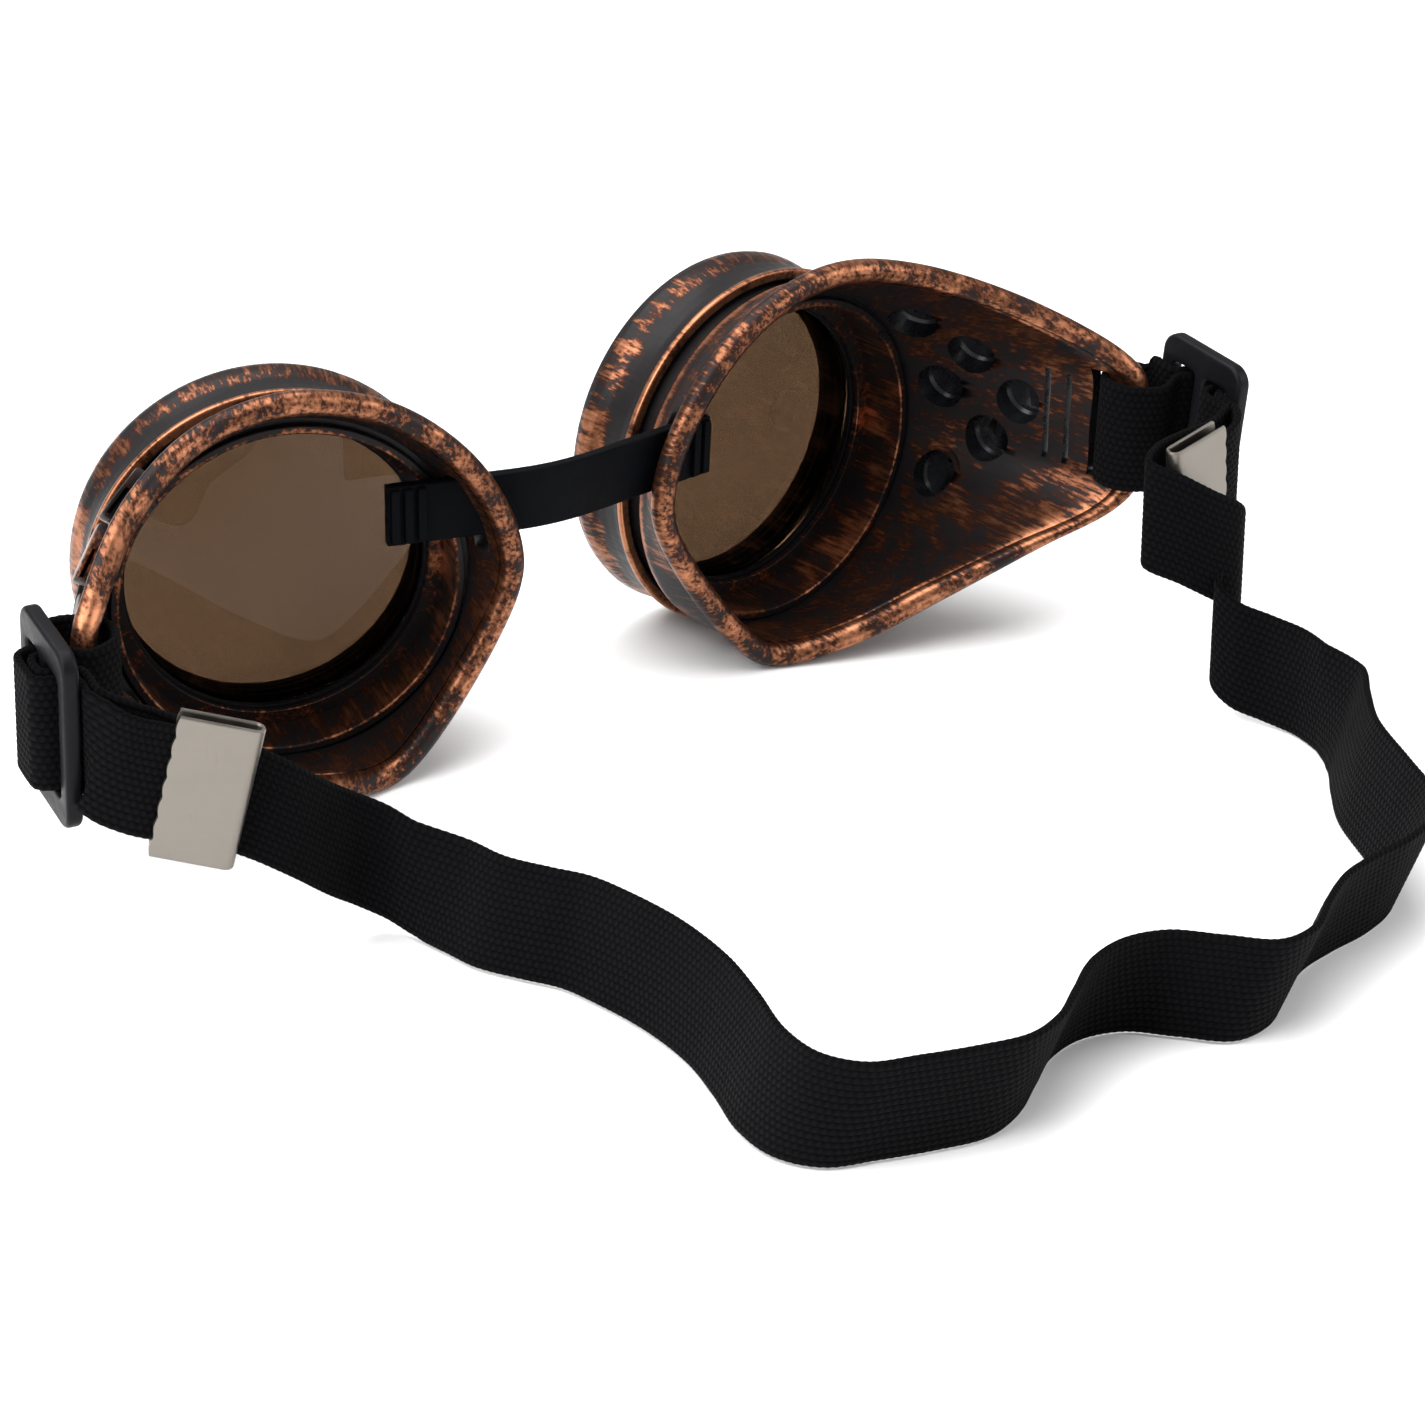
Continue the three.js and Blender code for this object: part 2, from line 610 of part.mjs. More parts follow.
// Puts a piece drawn in x (along the strap), y (up) and z (outward) in its place in the
// cup's frame
function onStrap(geometry, at, along) {
  const { outward, up } = acrossStrip(along);
  return tidy(tidy(geometry).applyMatrix4(
    new THREE.Matrix4().makeBasis(along, up, outward).setPosition(at)));
}

// The clip's folded section, seen from its end: x along the strap, y across the two leaves.
// The open end has a wavy edge, made by cutting notches along its height.
function clipGeometry() {
  const inner = STRAP_T / 2 + GAP;
  const outer = inner + CLIP.sheet;
  const straight = CLIP.length - outer;
  const shape = new THREE.Shape();
  shape.moveTo(0, -outer);
  shape.lineTo(straight, -outer);
  shape.absarc(straight, 0, outer, -Math.PI / 2, Math.PI / 2);
  shape.lineTo(0, outer);
  shape.lineTo(0, inner);
  shape.lineTo(straight, inner);
  shape.absarc(straight, 0, inner, Math.PI / 2, -Math.PI / 2, true);
  shape.lineTo(0, -inner);
  const folded = new THREE.ExtrudeGeometry(shape, {
    depth: CLIP.height, bevelEnabled: false, curveSegments: 8,
  }).translate(0, 0, -CLIP.height / 2);
  const notches = [];
  const pitch = CLIP.height / CLIP.teeth;
  for (let i = 0; i < CLIP.teeth; i += 1) {
    notches.push(new THREE.CylinderGeometry(pitch * 0.36, pitch * 0.36, 4 * outer, 8)
      .scale(CLIP.tooth, 1, 1)
      .translate(-0.2, 0, (i + 0.5) * pitch - CLIP.height / 2));
  }
  // y of the section becomes outward, z of the extrusion becomes up
  return tidy(combine(folded, [], notches).rotateX(-Math.PI / 2));
}

// The clip's fold lies just past the tail's end
function clipOnTail(side) {
  const [before, end] = TAIL[side].slice(-2).map((point) => new THREE.Vector3(...point));
  const along = end.clone().sub(before).normalize();
  const reach = CLIP.length - CLIP.sheet - 2 * GAP - STRAP_T / 2;
  return onStrap(clipGeometry(), end.addScaledVector(along, -reach), along);
}

// ---------------------------------------------------------------- assembly

const goggles = new THREE.Group();

function add(name, geometry, material, parent = goggles) {
  const mesh = new THREE.Mesh(geometry, material);
  mesh.name = name;
  parent.add(mesh);
}

const cup = cupGeometry();
const ring = ringGeometry();
const slider = onStrap(sliderGeometry(),
  new THREE.Vector3(SLIDER_AT.x, SLIDER_AT.y, SLIDER_AT.z), sliderAlong);
const strap = strapGeometries();
for (const side of ['left', 'right']) {
  const frame = FRAMES[side];
  const own = (geometry) => (side === 'left' ? mirrored(geometry) : geometry);
  goggles.add(frame);
  add(`${side}_eye_cup`, own(cup), COPPER, frame);
  add(`${side}_retaining_ring`, own(ring), COPPER, frame);
  add(`${side}_seat_gasket`, washer(GASKET_INNER_R, LENS_R, GASKET), RUBBER, frame);
  add(`${side}_filter_lens`, disc(LENS_R, FILTER), SMOKE, frame);
  add(`${side}_spacer_washer`, washer(GASKET_INNER_R, LENS_R, SPACER), FIBRE, frame);
  add(`${side}_cover_lens`, disc(LENS_R, COVER), CLEAR, frame);
  add(`${side}_slip_washer`, washer(SLIP_WASHER.inner, SLIP_WASHER.outer, SLIP_WASHER), FIBRE, frame);
  add(`${side}_nose_bridge`, bridgeGeometry(side), RUBBER);
  add(`${side}_strap_half`, strap[side], WEBBING);
  add(`${side}_strap_slider`, own(slider), NYLON, frame);
  add(`${side}_end_clip`, own(clipOnTail(side)), NICKEL, frame);
}

// Stand the pair on z = 0 with the middle of its box over the origin
const box = new THREE.Box3().setFromObject(goggles, true);
const middle = box.getCenter(new THREE.Vector3());
goggles.position.set(-middle.x, -middle.y, -box.min.z);

export default goggles;
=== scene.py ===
"""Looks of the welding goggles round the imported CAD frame.

Shapes are given in millimetres. A cup and what it carries are drawn in the cup's own frame:
x outward, y forward along the lens axis, z up, mirrored in x for the left side. Left and
right are the wearer's. The camera and the strap's head loop are in the drawing frame, which
TO_ROW carries to the row frame.
"""

import json
import math

import bmesh
import bpy
import numpy as np
from mathutils import Matrix, Vector


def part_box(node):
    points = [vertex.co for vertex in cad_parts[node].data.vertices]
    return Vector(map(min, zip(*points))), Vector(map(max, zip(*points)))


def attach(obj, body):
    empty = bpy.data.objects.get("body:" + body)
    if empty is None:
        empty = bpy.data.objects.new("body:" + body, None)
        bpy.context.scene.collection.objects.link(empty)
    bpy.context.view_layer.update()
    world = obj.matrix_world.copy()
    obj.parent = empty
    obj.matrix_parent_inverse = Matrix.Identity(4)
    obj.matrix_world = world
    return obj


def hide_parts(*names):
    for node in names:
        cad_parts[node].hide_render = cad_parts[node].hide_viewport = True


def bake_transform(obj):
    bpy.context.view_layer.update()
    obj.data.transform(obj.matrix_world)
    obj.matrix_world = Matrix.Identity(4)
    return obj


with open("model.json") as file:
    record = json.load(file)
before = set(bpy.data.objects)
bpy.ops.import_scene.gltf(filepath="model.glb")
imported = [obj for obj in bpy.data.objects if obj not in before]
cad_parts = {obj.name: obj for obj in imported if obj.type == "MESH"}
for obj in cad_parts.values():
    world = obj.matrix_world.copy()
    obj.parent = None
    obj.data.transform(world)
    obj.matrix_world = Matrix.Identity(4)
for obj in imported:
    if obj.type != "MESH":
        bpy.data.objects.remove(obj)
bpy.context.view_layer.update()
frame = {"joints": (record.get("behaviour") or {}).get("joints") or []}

MM = 0.001
SIDES = ("left", "right")
SIGN = {"left": -1, "right": 1}
JOINTS = {joint["name"]: joint for joint in frame["joints"]}

# ---------------------------------------------------------------- frames

FILTER_MIDDLE = 0.45                 # middle of the filter lens along the lens axis
LEFT_CUP_AS_DRAWN = Vector((-45.4, -4.0, 31.1))    # its lens centre in the drawing frame


def middle_of(node):
    low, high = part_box(node)
    return (low + high) / 2


def cup_matrix(side):
    """Places the cup's own frame, in metres, in the row frame."""
    forward = Vector(JOINTS[f"{side}_ring_travel"]["axis"]).normalized()
    across = Vector((forward.y, -forward.x, 0)).normalized()
    up = across.cross(forward)
    origin = middle_of(f"{side}_filter_lens") - forward * FILTER_MIDDLE * MM
    turn = Matrix((across, forward, up)).transposed()
    return Matrix.Translation(origin) @ turn.to_4x4()


CUP = {side: cup_matrix(side) for side in SIDES}
TO_ROW = CUP["left"].translation / MM - LEFT_CUP_AS_DRAWN


def from_cup(side, x, y, z):
    """A point of the cup's own frame, in row millimetres."""
    return np.array(CUP[side] @ (Vector((SIGN[side] * x, y, z)) * MM)) / MM


def unit(v):
    return v / np.linalg.norm(v)


# ---------------------------------------------------------------- camera and lights

CAMERA_AT = Vector((-313.1, -578.8, 292.6))        # in the drawing frame
CAMERA_TILT, CAMERA_TURN = 65.5, -31.2
CAMERA_LENS, CAMERA_SENSOR = 110.3, 36


def make_camera():
    data = bpy.data.cameras.new("camera")
    camera = bpy.data.objects.new("camera", data)
    bpy.context.scene.collection.objects.link(camera)
    camera.location = (TO_ROW + CAMERA_AT) * MM
    camera.rotation_euler = (math.radians(CAMERA_TILT), 0, math.radians(CAMERA_TURN))
    data.lens = CAMERA_LENS
    data.sensor_width = CAMERA_SENSOR
    data.clip_start = 0.01
    bpy.context.scene.camera = camera


def make_light(name, at, towards, size, power):
    data = bpy.data.lights.new(name, "AREA")
    data.shape = "RECTANGLE"
    data.size, data.size_y = size
    data.energy = power
    light = bpy.data.objects.new(name, data)
    light.location = at
    light.rotation_euler = (Vector(towards) - Vector(at)).to_track_quat("-Z", "Y").to_euler()
    bpy.context.scene.collection.objects.link(light)


# ---------------------------------------------------------------- material helpers


class Finish:
    """A node material with one Principled shader; its methods add nodes and link them."""

    def __init__(self, name, **constants):
        self.material = bpy.data.materials.new(name)
        self.material.use_nodes = True
        self.tree = self.material.node_tree
        self.tree.nodes.clear()
        self.shader = self.add("BsdfPrincipled")
        output = self.add("OutputMaterial")
        self.tree.links.new(self.shader.outputs["BSDF"], output.inputs["Surface"])
        for key, value in constants.items():
            self.shader.inputs[key.replace("_", " ")].default_value = value

    def add(self, kind, inputs=None, **settings):
        node = self.tree.nodes.new("ShaderNode" + kind)
        for key, value in settings.items():
            setattr(node, key, value)
        for key, value in (inputs or {}).items():
            self.put(node.inputs[key], value)
        return node

    def put(self, socket, value):
        if isinstance(value, bpy.types.NodeSocket):
            self.tree.links.new(value, socket)
        else:
            socket.default_value = value

    def set(self, key, value):
        self.put(self.shader.inputs[key], value)

    def drawn_point(self, scale, turn=(0, 0, 0)):
        """Where the point was drawn, in its own frame, so that a pattern rides with the piece."""
        point = self.add("Attribute", attribute_name="drawn").outputs["Vector"]
        return self.add("Mapping", {"Vector": point, "Rotation": turn,
                                    "Scale": scale}).outputs[0]

    def noise(self, vector, scale=1.0, detail=3.0, rough=0.55):
        return self.add("TexNoise", {"Vector": vector, "Scale": scale, "Detail": detail,
                                     "Roughness": rough}).outputs["Fac"]

    def math(self, operation, a, b=0.0):
        return self.add("Math", {0: a, 1: b}, operation=operation).outputs[0]

    def remap(self, value, low, high, to_low=0.0, to_high=1.0):
        return self.add("MapRange", {"Value": value, "From Min": low, "From Max": high,
                                     "To Min": to_low, "To Max": to_high}).outputs[0]

    def mix(self, share, a, b):
        node = self.add("Mix", {"Factor": share}, data_type="RGBA")
        self.put(node.inputs[6], a)
        self.put(node.inputs[7], b)
        return node.outputs[2]

    def attribute(self, name):
        return self.add("Attribute", attribute_name=name).outputs["Fac"]

    def bump(self, height, strength, distance):
        node = self.add("Bump", {"Height": height, "Strength": strength,
                                 "Distance": distance})
        self.put(self.shader.inputs["Normal"], node.outputs[0])


def rgb(*linear):
    return (*linear, 1.0)


def brushed_copper(name):
    """Black plastic with copper paint dragged over it; the attribute read below says how much, and on
    the cups it also holds painted highlights on the neck's thread crests and round the flange.
    """
    f = Finish(name, Specular_IOR_Level=0.14)
    strokes = f.noise(f.drawn_point((1500, 110, 1500)), detail=4, rough=0.62)
    slanted = f.drawn_point((1500, 150, 1500), turn=(0.5, 0.3, 0.6))
    cross = f.noise(slanted, detail=3, rough=0.6)
    specks = f.noise(f.drawn_point((2600, 2600, 2600)), detail=2)
    clouds = f.noise(f.drawn_point((130, 80, 130)), detail=3)
    patches = f.noise(f.drawn_point((240, 150, 240)), detail=4, rough=0.6)
    wear_and_glint = f.attribute("wear_and_glint")
    grain = f.math("ADD", f.math("MULTIPLY", strokes, 0.46), f.math("MULTIPLY", cross, 0.46))
    grain = f.math("ADD", grain, f.math("MULTIPLY", specks, 0.08))
    broad = f.math("ADD", f.math("MULTIPLY", clouds, 0.5), f.math("MULTIPLY", patches, 0.6))
    cover = f.math("ADD", grain, f.math("SUBTRACT", broad, 0.55))
    level = f.math("ADD", cover, f.math("MULTIPLY", f.math("SUBTRACT", wear_and_glint, 0.5), 0.55))
    paint = f.remap(level, 0.43, 0.56)
    shade = f.remap(level, 0.50, 0.74)
    copper = f.mix(shade, rgb(0.050, 0.015, 0.008), rgb(0.40, 0.165, 0.085))
    black = f.mix(clouds, rgb(0.005, 0.005, 0.006), rgb(0.016, 0.013, 0.013))
    f.set("Base Color", f.mix(paint, black, copper))
    f.set("Metallic", f.math("MULTIPLY", paint, 0.9))
    f.set("Roughness", f.remap(f.math("ADD", cross, f.math("MULTIPLY", paint, -0.2)),
                               0.1, 0.7, 0.26, 0.46))
    f.bump(f.math("ADD", grain, f.math("MULTIPLY", paint, 0.25)), 0.32, 0.00016)
    return f.material


def moulded(name, dark, light, rough, grain=900, strength=0.2, **constants):
    """Plastic or rubber with a fine moulded grain and slight variation."""
    f = Finish(name, **constants)
    fine = f.noise(f.drawn_point((grain,) * 3), detail=4)
    broad = f.noise(f.drawn_point((110,) * 3), detail=3)
    f.set("Base Color", f.mix(f.remap(broad, 0.3, 0.7), dark, light))
    f.set("Roughness", f.remap(f.math("ADD", fine, broad), 0.7, 1.3, rough - 0.07, rough + 0.1))
    f.bump(fine, strength, 0.0001)
    return f.material


def lens_glass(name, tint):
    """Plate, a little uneven in its tint; its low index keeps the reflections faint."""
    f = Finish(name, Transmission_Weight=1.0, Roughness=0.0, IOR=1.22,
               Specular_IOR_Level=0.05)
    uneven = f.noise(f.drawn_point((60, 60, 25)), detail=2)
    f.set("Base Color", f.mix(uneven, rgb(*[c * 0.92 for c in tint]), rgb(*tint)))
    return f.material


def knitted(name):
    """Knitted elastic: ribs along its length, each a row of small slanted stitches, with painted
    shade in the grooves between them.
    """
    f = Finish(name, Sheen_Weight=0.01, Sheen_Roughness=0.5, Specular_IOR_Level=0.03)
    weave = f.add("UVMap", uv_map="weave").outputs["UV"]
    split = f.add("SeparateXYZ", {"Vector": weave})
    along, across = split.outputs["X"], split.outputs["Y"]
    rib = f.math("MULTIPLY", across, math.pi / RIB_PITCH)
    rib_height = f.math("ABSOLUTE", f.math("SINE", rib))
    row = f.math("FLOOR", f.math("DIVIDE", across, RIB_PITCH))
    phase = f.math("ADD", f.math("MULTIPLY", along, 2 * math.pi / STITCH_PITCH),
                   f.math("MULTIPLY", row, math.pi))
    stitch = f.remap(f.math("SINE", phase), -1, 1)
    fuzz = f.noise(f.add("VectorMath", {0: weave, 1: (9, 9, 9)},
                         operation="MULTIPLY").outputs[0], detail=3)
    broad = f.noise(weave, scale=0.09, detail=2)
    height = f.math("ADD", f.math("MULTIPLY", rib_height, 0.55), f.math("MULTIPLY", stitch, 0.45))
    height = f.math("ADD", height, f.math("MULTIPLY", fuzz, 0.35))
    # painted shade: the colour follows the knit's height, darker in the grooves between ribs and
    # stitches and lighter on their tops, with a slow random change of tone
    shade = f.remap(f.math("ADD", height, f.math("MULTIPLY", broad, 0.35)), 0.35, 1.45)
    f.set("Base Color", f.mix(shade, rgb(0.0005, 0.0005, 0.0007), rgb(0.0042, 0.0042, 0.0050)))
    f.set("Roughness", f.remap(height, 0.3, 1.2, 0.95, 0.74))
    f.bump(height, 0.9, 0.00035)
    return f.material


def plated(name):
    """Nickel plate with rolling marks, light scratches and duller patches."""
    f = Finish(name, Metallic=1.0)
    rolled = f.noise(f.drawn_point((90, 90, 2200)), detail=3)
    patches = f.noise(f.drawn_point((160,) * 3), detail=4)
    scratch = f.remap(f.noise(f.drawn_point((3200, 3200, 150)), detail=1), 0.70, 0.76)
    f.set("Base Color", f.mix(patches, rgb(0.165, 0.150, 0.130), rgb(0.235, 0.215, 0.19)))
    rough = f.math("ADD", f.remap(patches, 0.3, 0.7, 0.26, 0.42), f.math("MULTIPLY", rolled, 0.10))
    f.set("Roughness", f.math("ADD", rough, f.math("MULTIPLY", scratch, 0.15)))
    f.bump(f.math("ADD", rolled, scratch), 0.18, 0.00008)
    return f.material


# ---------------------------------------------------------------- mesh helpers


def new_object(name, points, faces):
    """A mesh object from points in millimetres, its faces turned outward."""
    mesh = bpy.data.meshes.new(name)
    mesh.from_pydata([tuple(p) for p in np.asarray(points, float) * MM], [], faces)
    made = bpy.data.objects.new(name, mesh)
    bpy.context.scene.collection.objects.link(made)
    face_outward(mesh)
    return made


def face_outward(mesh):
    work = bmesh.new()
    work.from_mesh(mesh)
    bmesh.ops.recalc_face_normals(work, faces=work.faces)
    work.to_mesh(mesh)
    work.free()


def smooth_by_angle(made, degrees=32):
    work = bmesh.new()
    work.from_mesh(made.data)
    for face in work.faces:
        face.smooth = True
    for edge in work.edges:
        edge.smooth = edge.calc_face_angle(0) < math.radians(degrees)
    work.to_mesh(made.data)
    work.free()


def dress(made, material, slot, *nodes, place=None, body=None):
    """Finishes a piece: keeps where it was drawn for its material, then puts it in place."""
    if not made.data.materials:
        made.data.materials.append(material)
    smooth_by_angle(made)
    drawn = made.data.attributes.new("drawn", "FLOAT_VECTOR", "POINT")
    drawn.data.foreach_set("vector", (points_of(made) * MM).ravel())
    if place is not None:
        made.data.transform(place)
    if nodes:
        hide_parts(*nodes)
    if body:
        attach(made, body)
    return made


def rounded(profile, radius, steps=4):
    """A closed outline with its corners rounded off, as an array of points."""
    corners = [np.array(p, float) for p in profile]
    points = []
    for i, corner in enumerate(corners):
        before, after = corners[i - 1] - corner, corners[(i + 1) % len(corners)] - corner
        reach = min(radius, 0.45 * np.linalg.norm(before), 0.45 * np.linalg.norm(after))
        a, b = corner + unit(before) * reach, corner + unit(after) * reach
        for k in range(steps + 1):
            t = k / steps
            points.append((1 - t) ** 2 * a + 2 * t * (1 - t) * corner + t * t * b)
    return np.array(points)


def ring_faces(rows, size, closed):
    """Quads between rows of size points each; an open run is capped at both ends."""
    faces = []
    for r in range(rows if closed else rows - 1):
        here, there = r * size, (r + 1) % rows * size
        faces += [(here + k, there + k, there + (k + 1) % size, here + (k + 1) % size)
                  for k in range(size)]
    if not closed:
        faces += [tuple(range(size)), tuple((rows - 1) * size + k for k in range(size))]
    return faces


def turned(name, profile, segments=144):
    """A solid of revolution about the lens axis from a closed outline of (radius, y)."""
    profile = np.asarray(profile, float)
    angles = np.linspace(0, 2 * math.pi, segments, endpoint=False)
    points = [(r * math.cos(a), y, r * math.sin(a)) for a in angles for r, y in profile]
    return new_object(name, points, ring_faces(segments, len(profile), True))


def disc(name, radius, rear, front, bevel=0.25, segments=128):
    """A lens: rings of faces out to a small bevel at its edge."""
    rings = [(radius * s, rear) for s in (0.35, 0.7, 1 - bevel / radius)]
    outline = [*rings, (radius, rear + bevel), (radius, front - bevel)]
    outline += [(r, front) for r, _ in reversed(rings)]
    points = [(r * math.cos(2 * math.pi * s / segments), y, r * math.sin(2 * math.pi * s / segments))
              for s in range(segments) for r, y in outline]
    size = len(outline)
    faces = [(s * size + k, (s + 1) % segments * size + k,
              (s + 1) % segments * size + k + 1, s * size + k + 1)
             for s in range(segments) for k in range(size - 1)]
    for centre, k in (((0, rear, 0), 0), ((0, front, 0), size - 1)):
        points.append(centre)
        faces += [(len(points) - 1, s * size + k, (s + 1) % segments * size + k)
                  for s in range(segments)]
    return new_object(name, points, faces)


def set_attribute(made, values, name="wear_and_glint"):
    attribute = made.data.attributes.new(name, "FLOAT", "POINT")
    attribute.data.foreach_set("value", np.asarray(values, np.float32))


def points_of(made):
    flat = np.zeros(len(made.data.vertices) * 3)
    made.data.vertices.foreach_get("co", flat)
    return flat.reshape(-1, 3) / MM


def join_meshes(first, *others):
    """Adds the others' meshes to the first object and removes them."""
    work = bmesh.new()
    work.from_mesh(first.data)
    for other in others:
        work.from_mesh(other.data)
        bpy.data.objects.remove(other)
    work.to_mesh(first.data)
    work.free()
    return first


def boolean(made, tool, operation):
    modifier = made.modifiers.new("cut", "BOOLEAN")
    modifier.operation = operation
    modifier.solver = "EXACT"
    modifier.use_self = True
    modifier.object = tool
    graph = bpy.context.evaluated_depsgraph_get()
    result = bpy.data.meshes.new_from_object(made.evaluated_get(graph), depsgraph=graph)
    made.modifiers.clear()
    made.data = result
    bpy.data.objects.remove(tool)


def smoothstep(value, low, high):
    t = np.clip((value - low) / (high - low), 0, 1)
    return t * t * (3 - 2 * t)


# ---------------------------------------------------------------- curves


def centripetal(places, closed=False):
    """Catmull-Rom pieces through the places: cubic coefficients, one set per stretch."""
    p = np.array(places, float)
    if closed:
        p = np.vstack([p[-1], p, p[:2]])
    else:
        p = np.vstack([2 * p[0] - p[1], p, 2 * p[-1] - p[-2]])
    pieces = []
    for i in range(len(p) - 3):
        a, b, c, d = p[i:i + 4]
        t0, t1, t2 = (math.sqrt(np.linalg.norm(v)) for v in (b - a, c - b, d - c))
        out = ((b - a) / t0 - (c - a) / (t0 + t1) + (c - b) / t1) * t1
        into = ((c - b) / t1 - (d - b) / (t1 + t2) + (d - c) / t2) * t1
        pieces.append((b, out, -3 * b + 3 * c - 2 * out - into, 2 * b - 2 * c + out + into))
    return pieces


def on_curve(pieces, t):
    """Point and direction at t, counted in stretches from the first place."""
    i = min(int(t), len(pieces) - 1)
    s = t - i
    a, b, c, d = pieces[i]
    return a + s * (b + s * (c + s * d)), unit(b + s * (2 * c + 3 * s * d))


# ---------------------------------------------------------------- eye cup

RIM = [
    (39.6, -51.2, -0.8), (39.6, -51.3, 8.0), (39.6, -51.3, 17.2), (37.6, -48.6, 20.9),
    (28.0, -33.3, 28.1), (14.5, -21.5, 33.0), (0.5, -18.5, 35.0), (-14.5, -17.6, 31.0),
    (-27.0, -17.3, 20.5), (-33.4, -17.1, 7.5), (-33.2, -17.4, -0.8), (-18.4, -20.9, -23.4),
    (-12.5, -22.6, -27.6), (-1.8, -28.6, -25.2), (11.9, -35.7, -18.3), (25.7, -43.1, -11.0),
    (36.5, -49.5, -4.8),
]
RIM_STATIONS = 220
FLANGE = np.array((30.6, -9.3))
WALL = 2.0
BEAD_R = 1.95
WALL_STEPS = 14
WALL_END = 0.95                      # share of the wall's line where the bead takes over
BELLY, BELLY_AT = 0.4, 0.45          # how far the wall bulges out, and where along it
BEAD_ARC = 122                       # degrees of the bead to each side of its far point
# vents as (y, degrees round the lens axis), in a triangle on the temple side
VENTS = [(-15.2, 40), (-16.8, 14), (-18.4, -15), (-23.0, 27), (-25.4, 0.5), (-31.0, 14)]
VENT_R = 4.0
HOOD_R, HOOD_HEIGHT, HOOD_ROOF, HOOD_MOUTH = 4.85, 1.5, 0.7, 0.6
HOOD_ROOT = 1.2                      # how deep a hood sits in the wall
VENT_REACH = 6                       # how far a vent's cutter goes in from the wall's face
MOUTH_HALF = 0.6 * VENT_R
SLITS = (-36.4, -40.3)
SLIT_HALF = 0.5
SLIT_X, SLIT_Z = (30, 44), (-0.2, 16.2)
STRAP_SLOT = ((31, 45), (-48.0, -44.7), (-0.6, 18.6))
BRIDGE_SLOT = ((-39, -23), (-14.85, -11.95), (4.4, 17.6))

rim_pieces = centripetal(RIM, closed=True)
rim_points = np.array([on_curve(rim_pieces, t)[0]
                       for t in np.linspace(0, len(RIM), 1600, endpoint=False)])
rim_lengths = np.r_[0, np.cumsum(np.linalg.norm(np.diff(rim_points, axis=0), axis=1))]
rim_even = np.column_stack([
    np.interp(np.linspace(0, rim_lengths[-1], RIM_STATIONS, endpoint=False),
              rim_lengths, rim_points[:, k]) for k in range(3)])


def wall_line(rim_r, rim_y):
    """Control points of the wall's outer line, from the flange to the rim."""
    end = np.array((rim_r, rim_y))
    middle = FLANGE + (end - FLANGE) * BELLY_AT
    middle[0] += BELLY * (max(FLANGE[0], rim_r) - middle[0])
    return FLANGE, middle, end


def on_wall(line, t):
    a, b, c = line
    point = (1 - t) ** 2 * a + 2 * t * (1 - t) * b + t * t * c
    return point, unit(2 * (1 - t) * (b - a) + 2 * t * (c - b))


def cup_section(rim_r, rim_y):
    """The cup's outline at one station of the rim, as (radius, y)."""
    line = wall_line(rim_r, rim_y)
    outer, inner = [], []
    for i in range(WALL_STEPS + 1):
        p, d = on_wall(line, WALL_END * i / WALL_STEPS)
        outer.append(p)
        inner.insert(0, p + np.array((d[1], -d[0])) * WALL)
    end, d = on_wall(line, 1)
    side = np.array((-d[1], d[0]))
    bead = [end + BEAD_R * (d * math.cos(a) + side * math.sin(a))
            for a in np.radians(np.linspace(BEAD_ARC, -BEAD_ARC, 15))]
    return np.array([*NECK, *outer, *bead, *inner, *BORE])


def neck_outline():
    """The neck's outer side with its two thread ridges, as (radius, y)."""
    outline = [(27.6, 4.3), (28.0, 4.2), (28.2, 3.7)]
    for top in (2.6, -0.4):
        outline += [(28.2, top + 0.8), (28.4, top + 0.55), (28.68, top + 0.22),
                    (28.68, top - 0.22), (28.4, top - 0.55), (28.2, top - 0.8)]
    return outline + [(28.2, -7.0), (28.4, -7.3), (29.7, -7.5), (30.15, -7.7), (30.4, -8.2)]


NECK = neck_outline()
# the inside of the cup's front: shoulder, bore, lens seat and lens pocket, as (radius, y)
BORE = [
    (28.9, -10.2), (28.2, -10.2), (28.0, -10.4), (28.0, -11.2), (27.85, -11.4), (26.9, -11.4),
    (26.65, -11.2), (26.6, -10.9), (26.6, -8), (26.6, -5), (26.6, -3.4), (24.5, -3.4),
    (24.4, -3.3), (24.4, -2.4), (25.3, -2.4), (25.3, 4.2), (25.4, 4.3),
]


def turn_and_place(outline, degrees, y, sign, lean, steps=40):
    """A round solid on the wall, leaning with it: outline of (radius, height from the axis)."""
    points = []
    a = math.radians(degrees)
    for s in range(steps):
        b = 2 * math.pi * s / steps
        for r, height in outline:
            along, up = r * math.cos(b), r * math.sin(b)
            h = height + lean * along
            points.append((sign * (h * math.cos(a) - up * math.sin(a)), y + along,
                           h * math.sin(a) + up * math.cos(a)))
    faces = ring_faces(steps, len(outline), True)
    size = len(outline)
    faces = [f for f in faces if f[0] % size != size - 1]
    faces += [tuple(s * size for s in range(steps)), tuple(s * size + size - 1 for s in range(steps))]
    return points, faces


def block(x, y, z, sign, degrees=0, y_at=0, lean=0.0):
    """A plain box between two limits on each axis, turned round the lens axis."""
    a = math.radians(degrees)
    corners = [(px + lean * py, py, pz) for px in x for py in y for pz in z]
    points = [(sign * (px * math.cos(a) - pz * math.sin(a)), py + y_at,
               px * math.sin(a) + pz * math.cos(a)) for px, py, pz in corners]
    return points, [(0, 1, 3, 2), (4, 6, 7, 5), (0, 4, 5, 1), (2, 3, 7, 6), (0, 2, 6, 4),
                    (1, 5, 7, 3)]


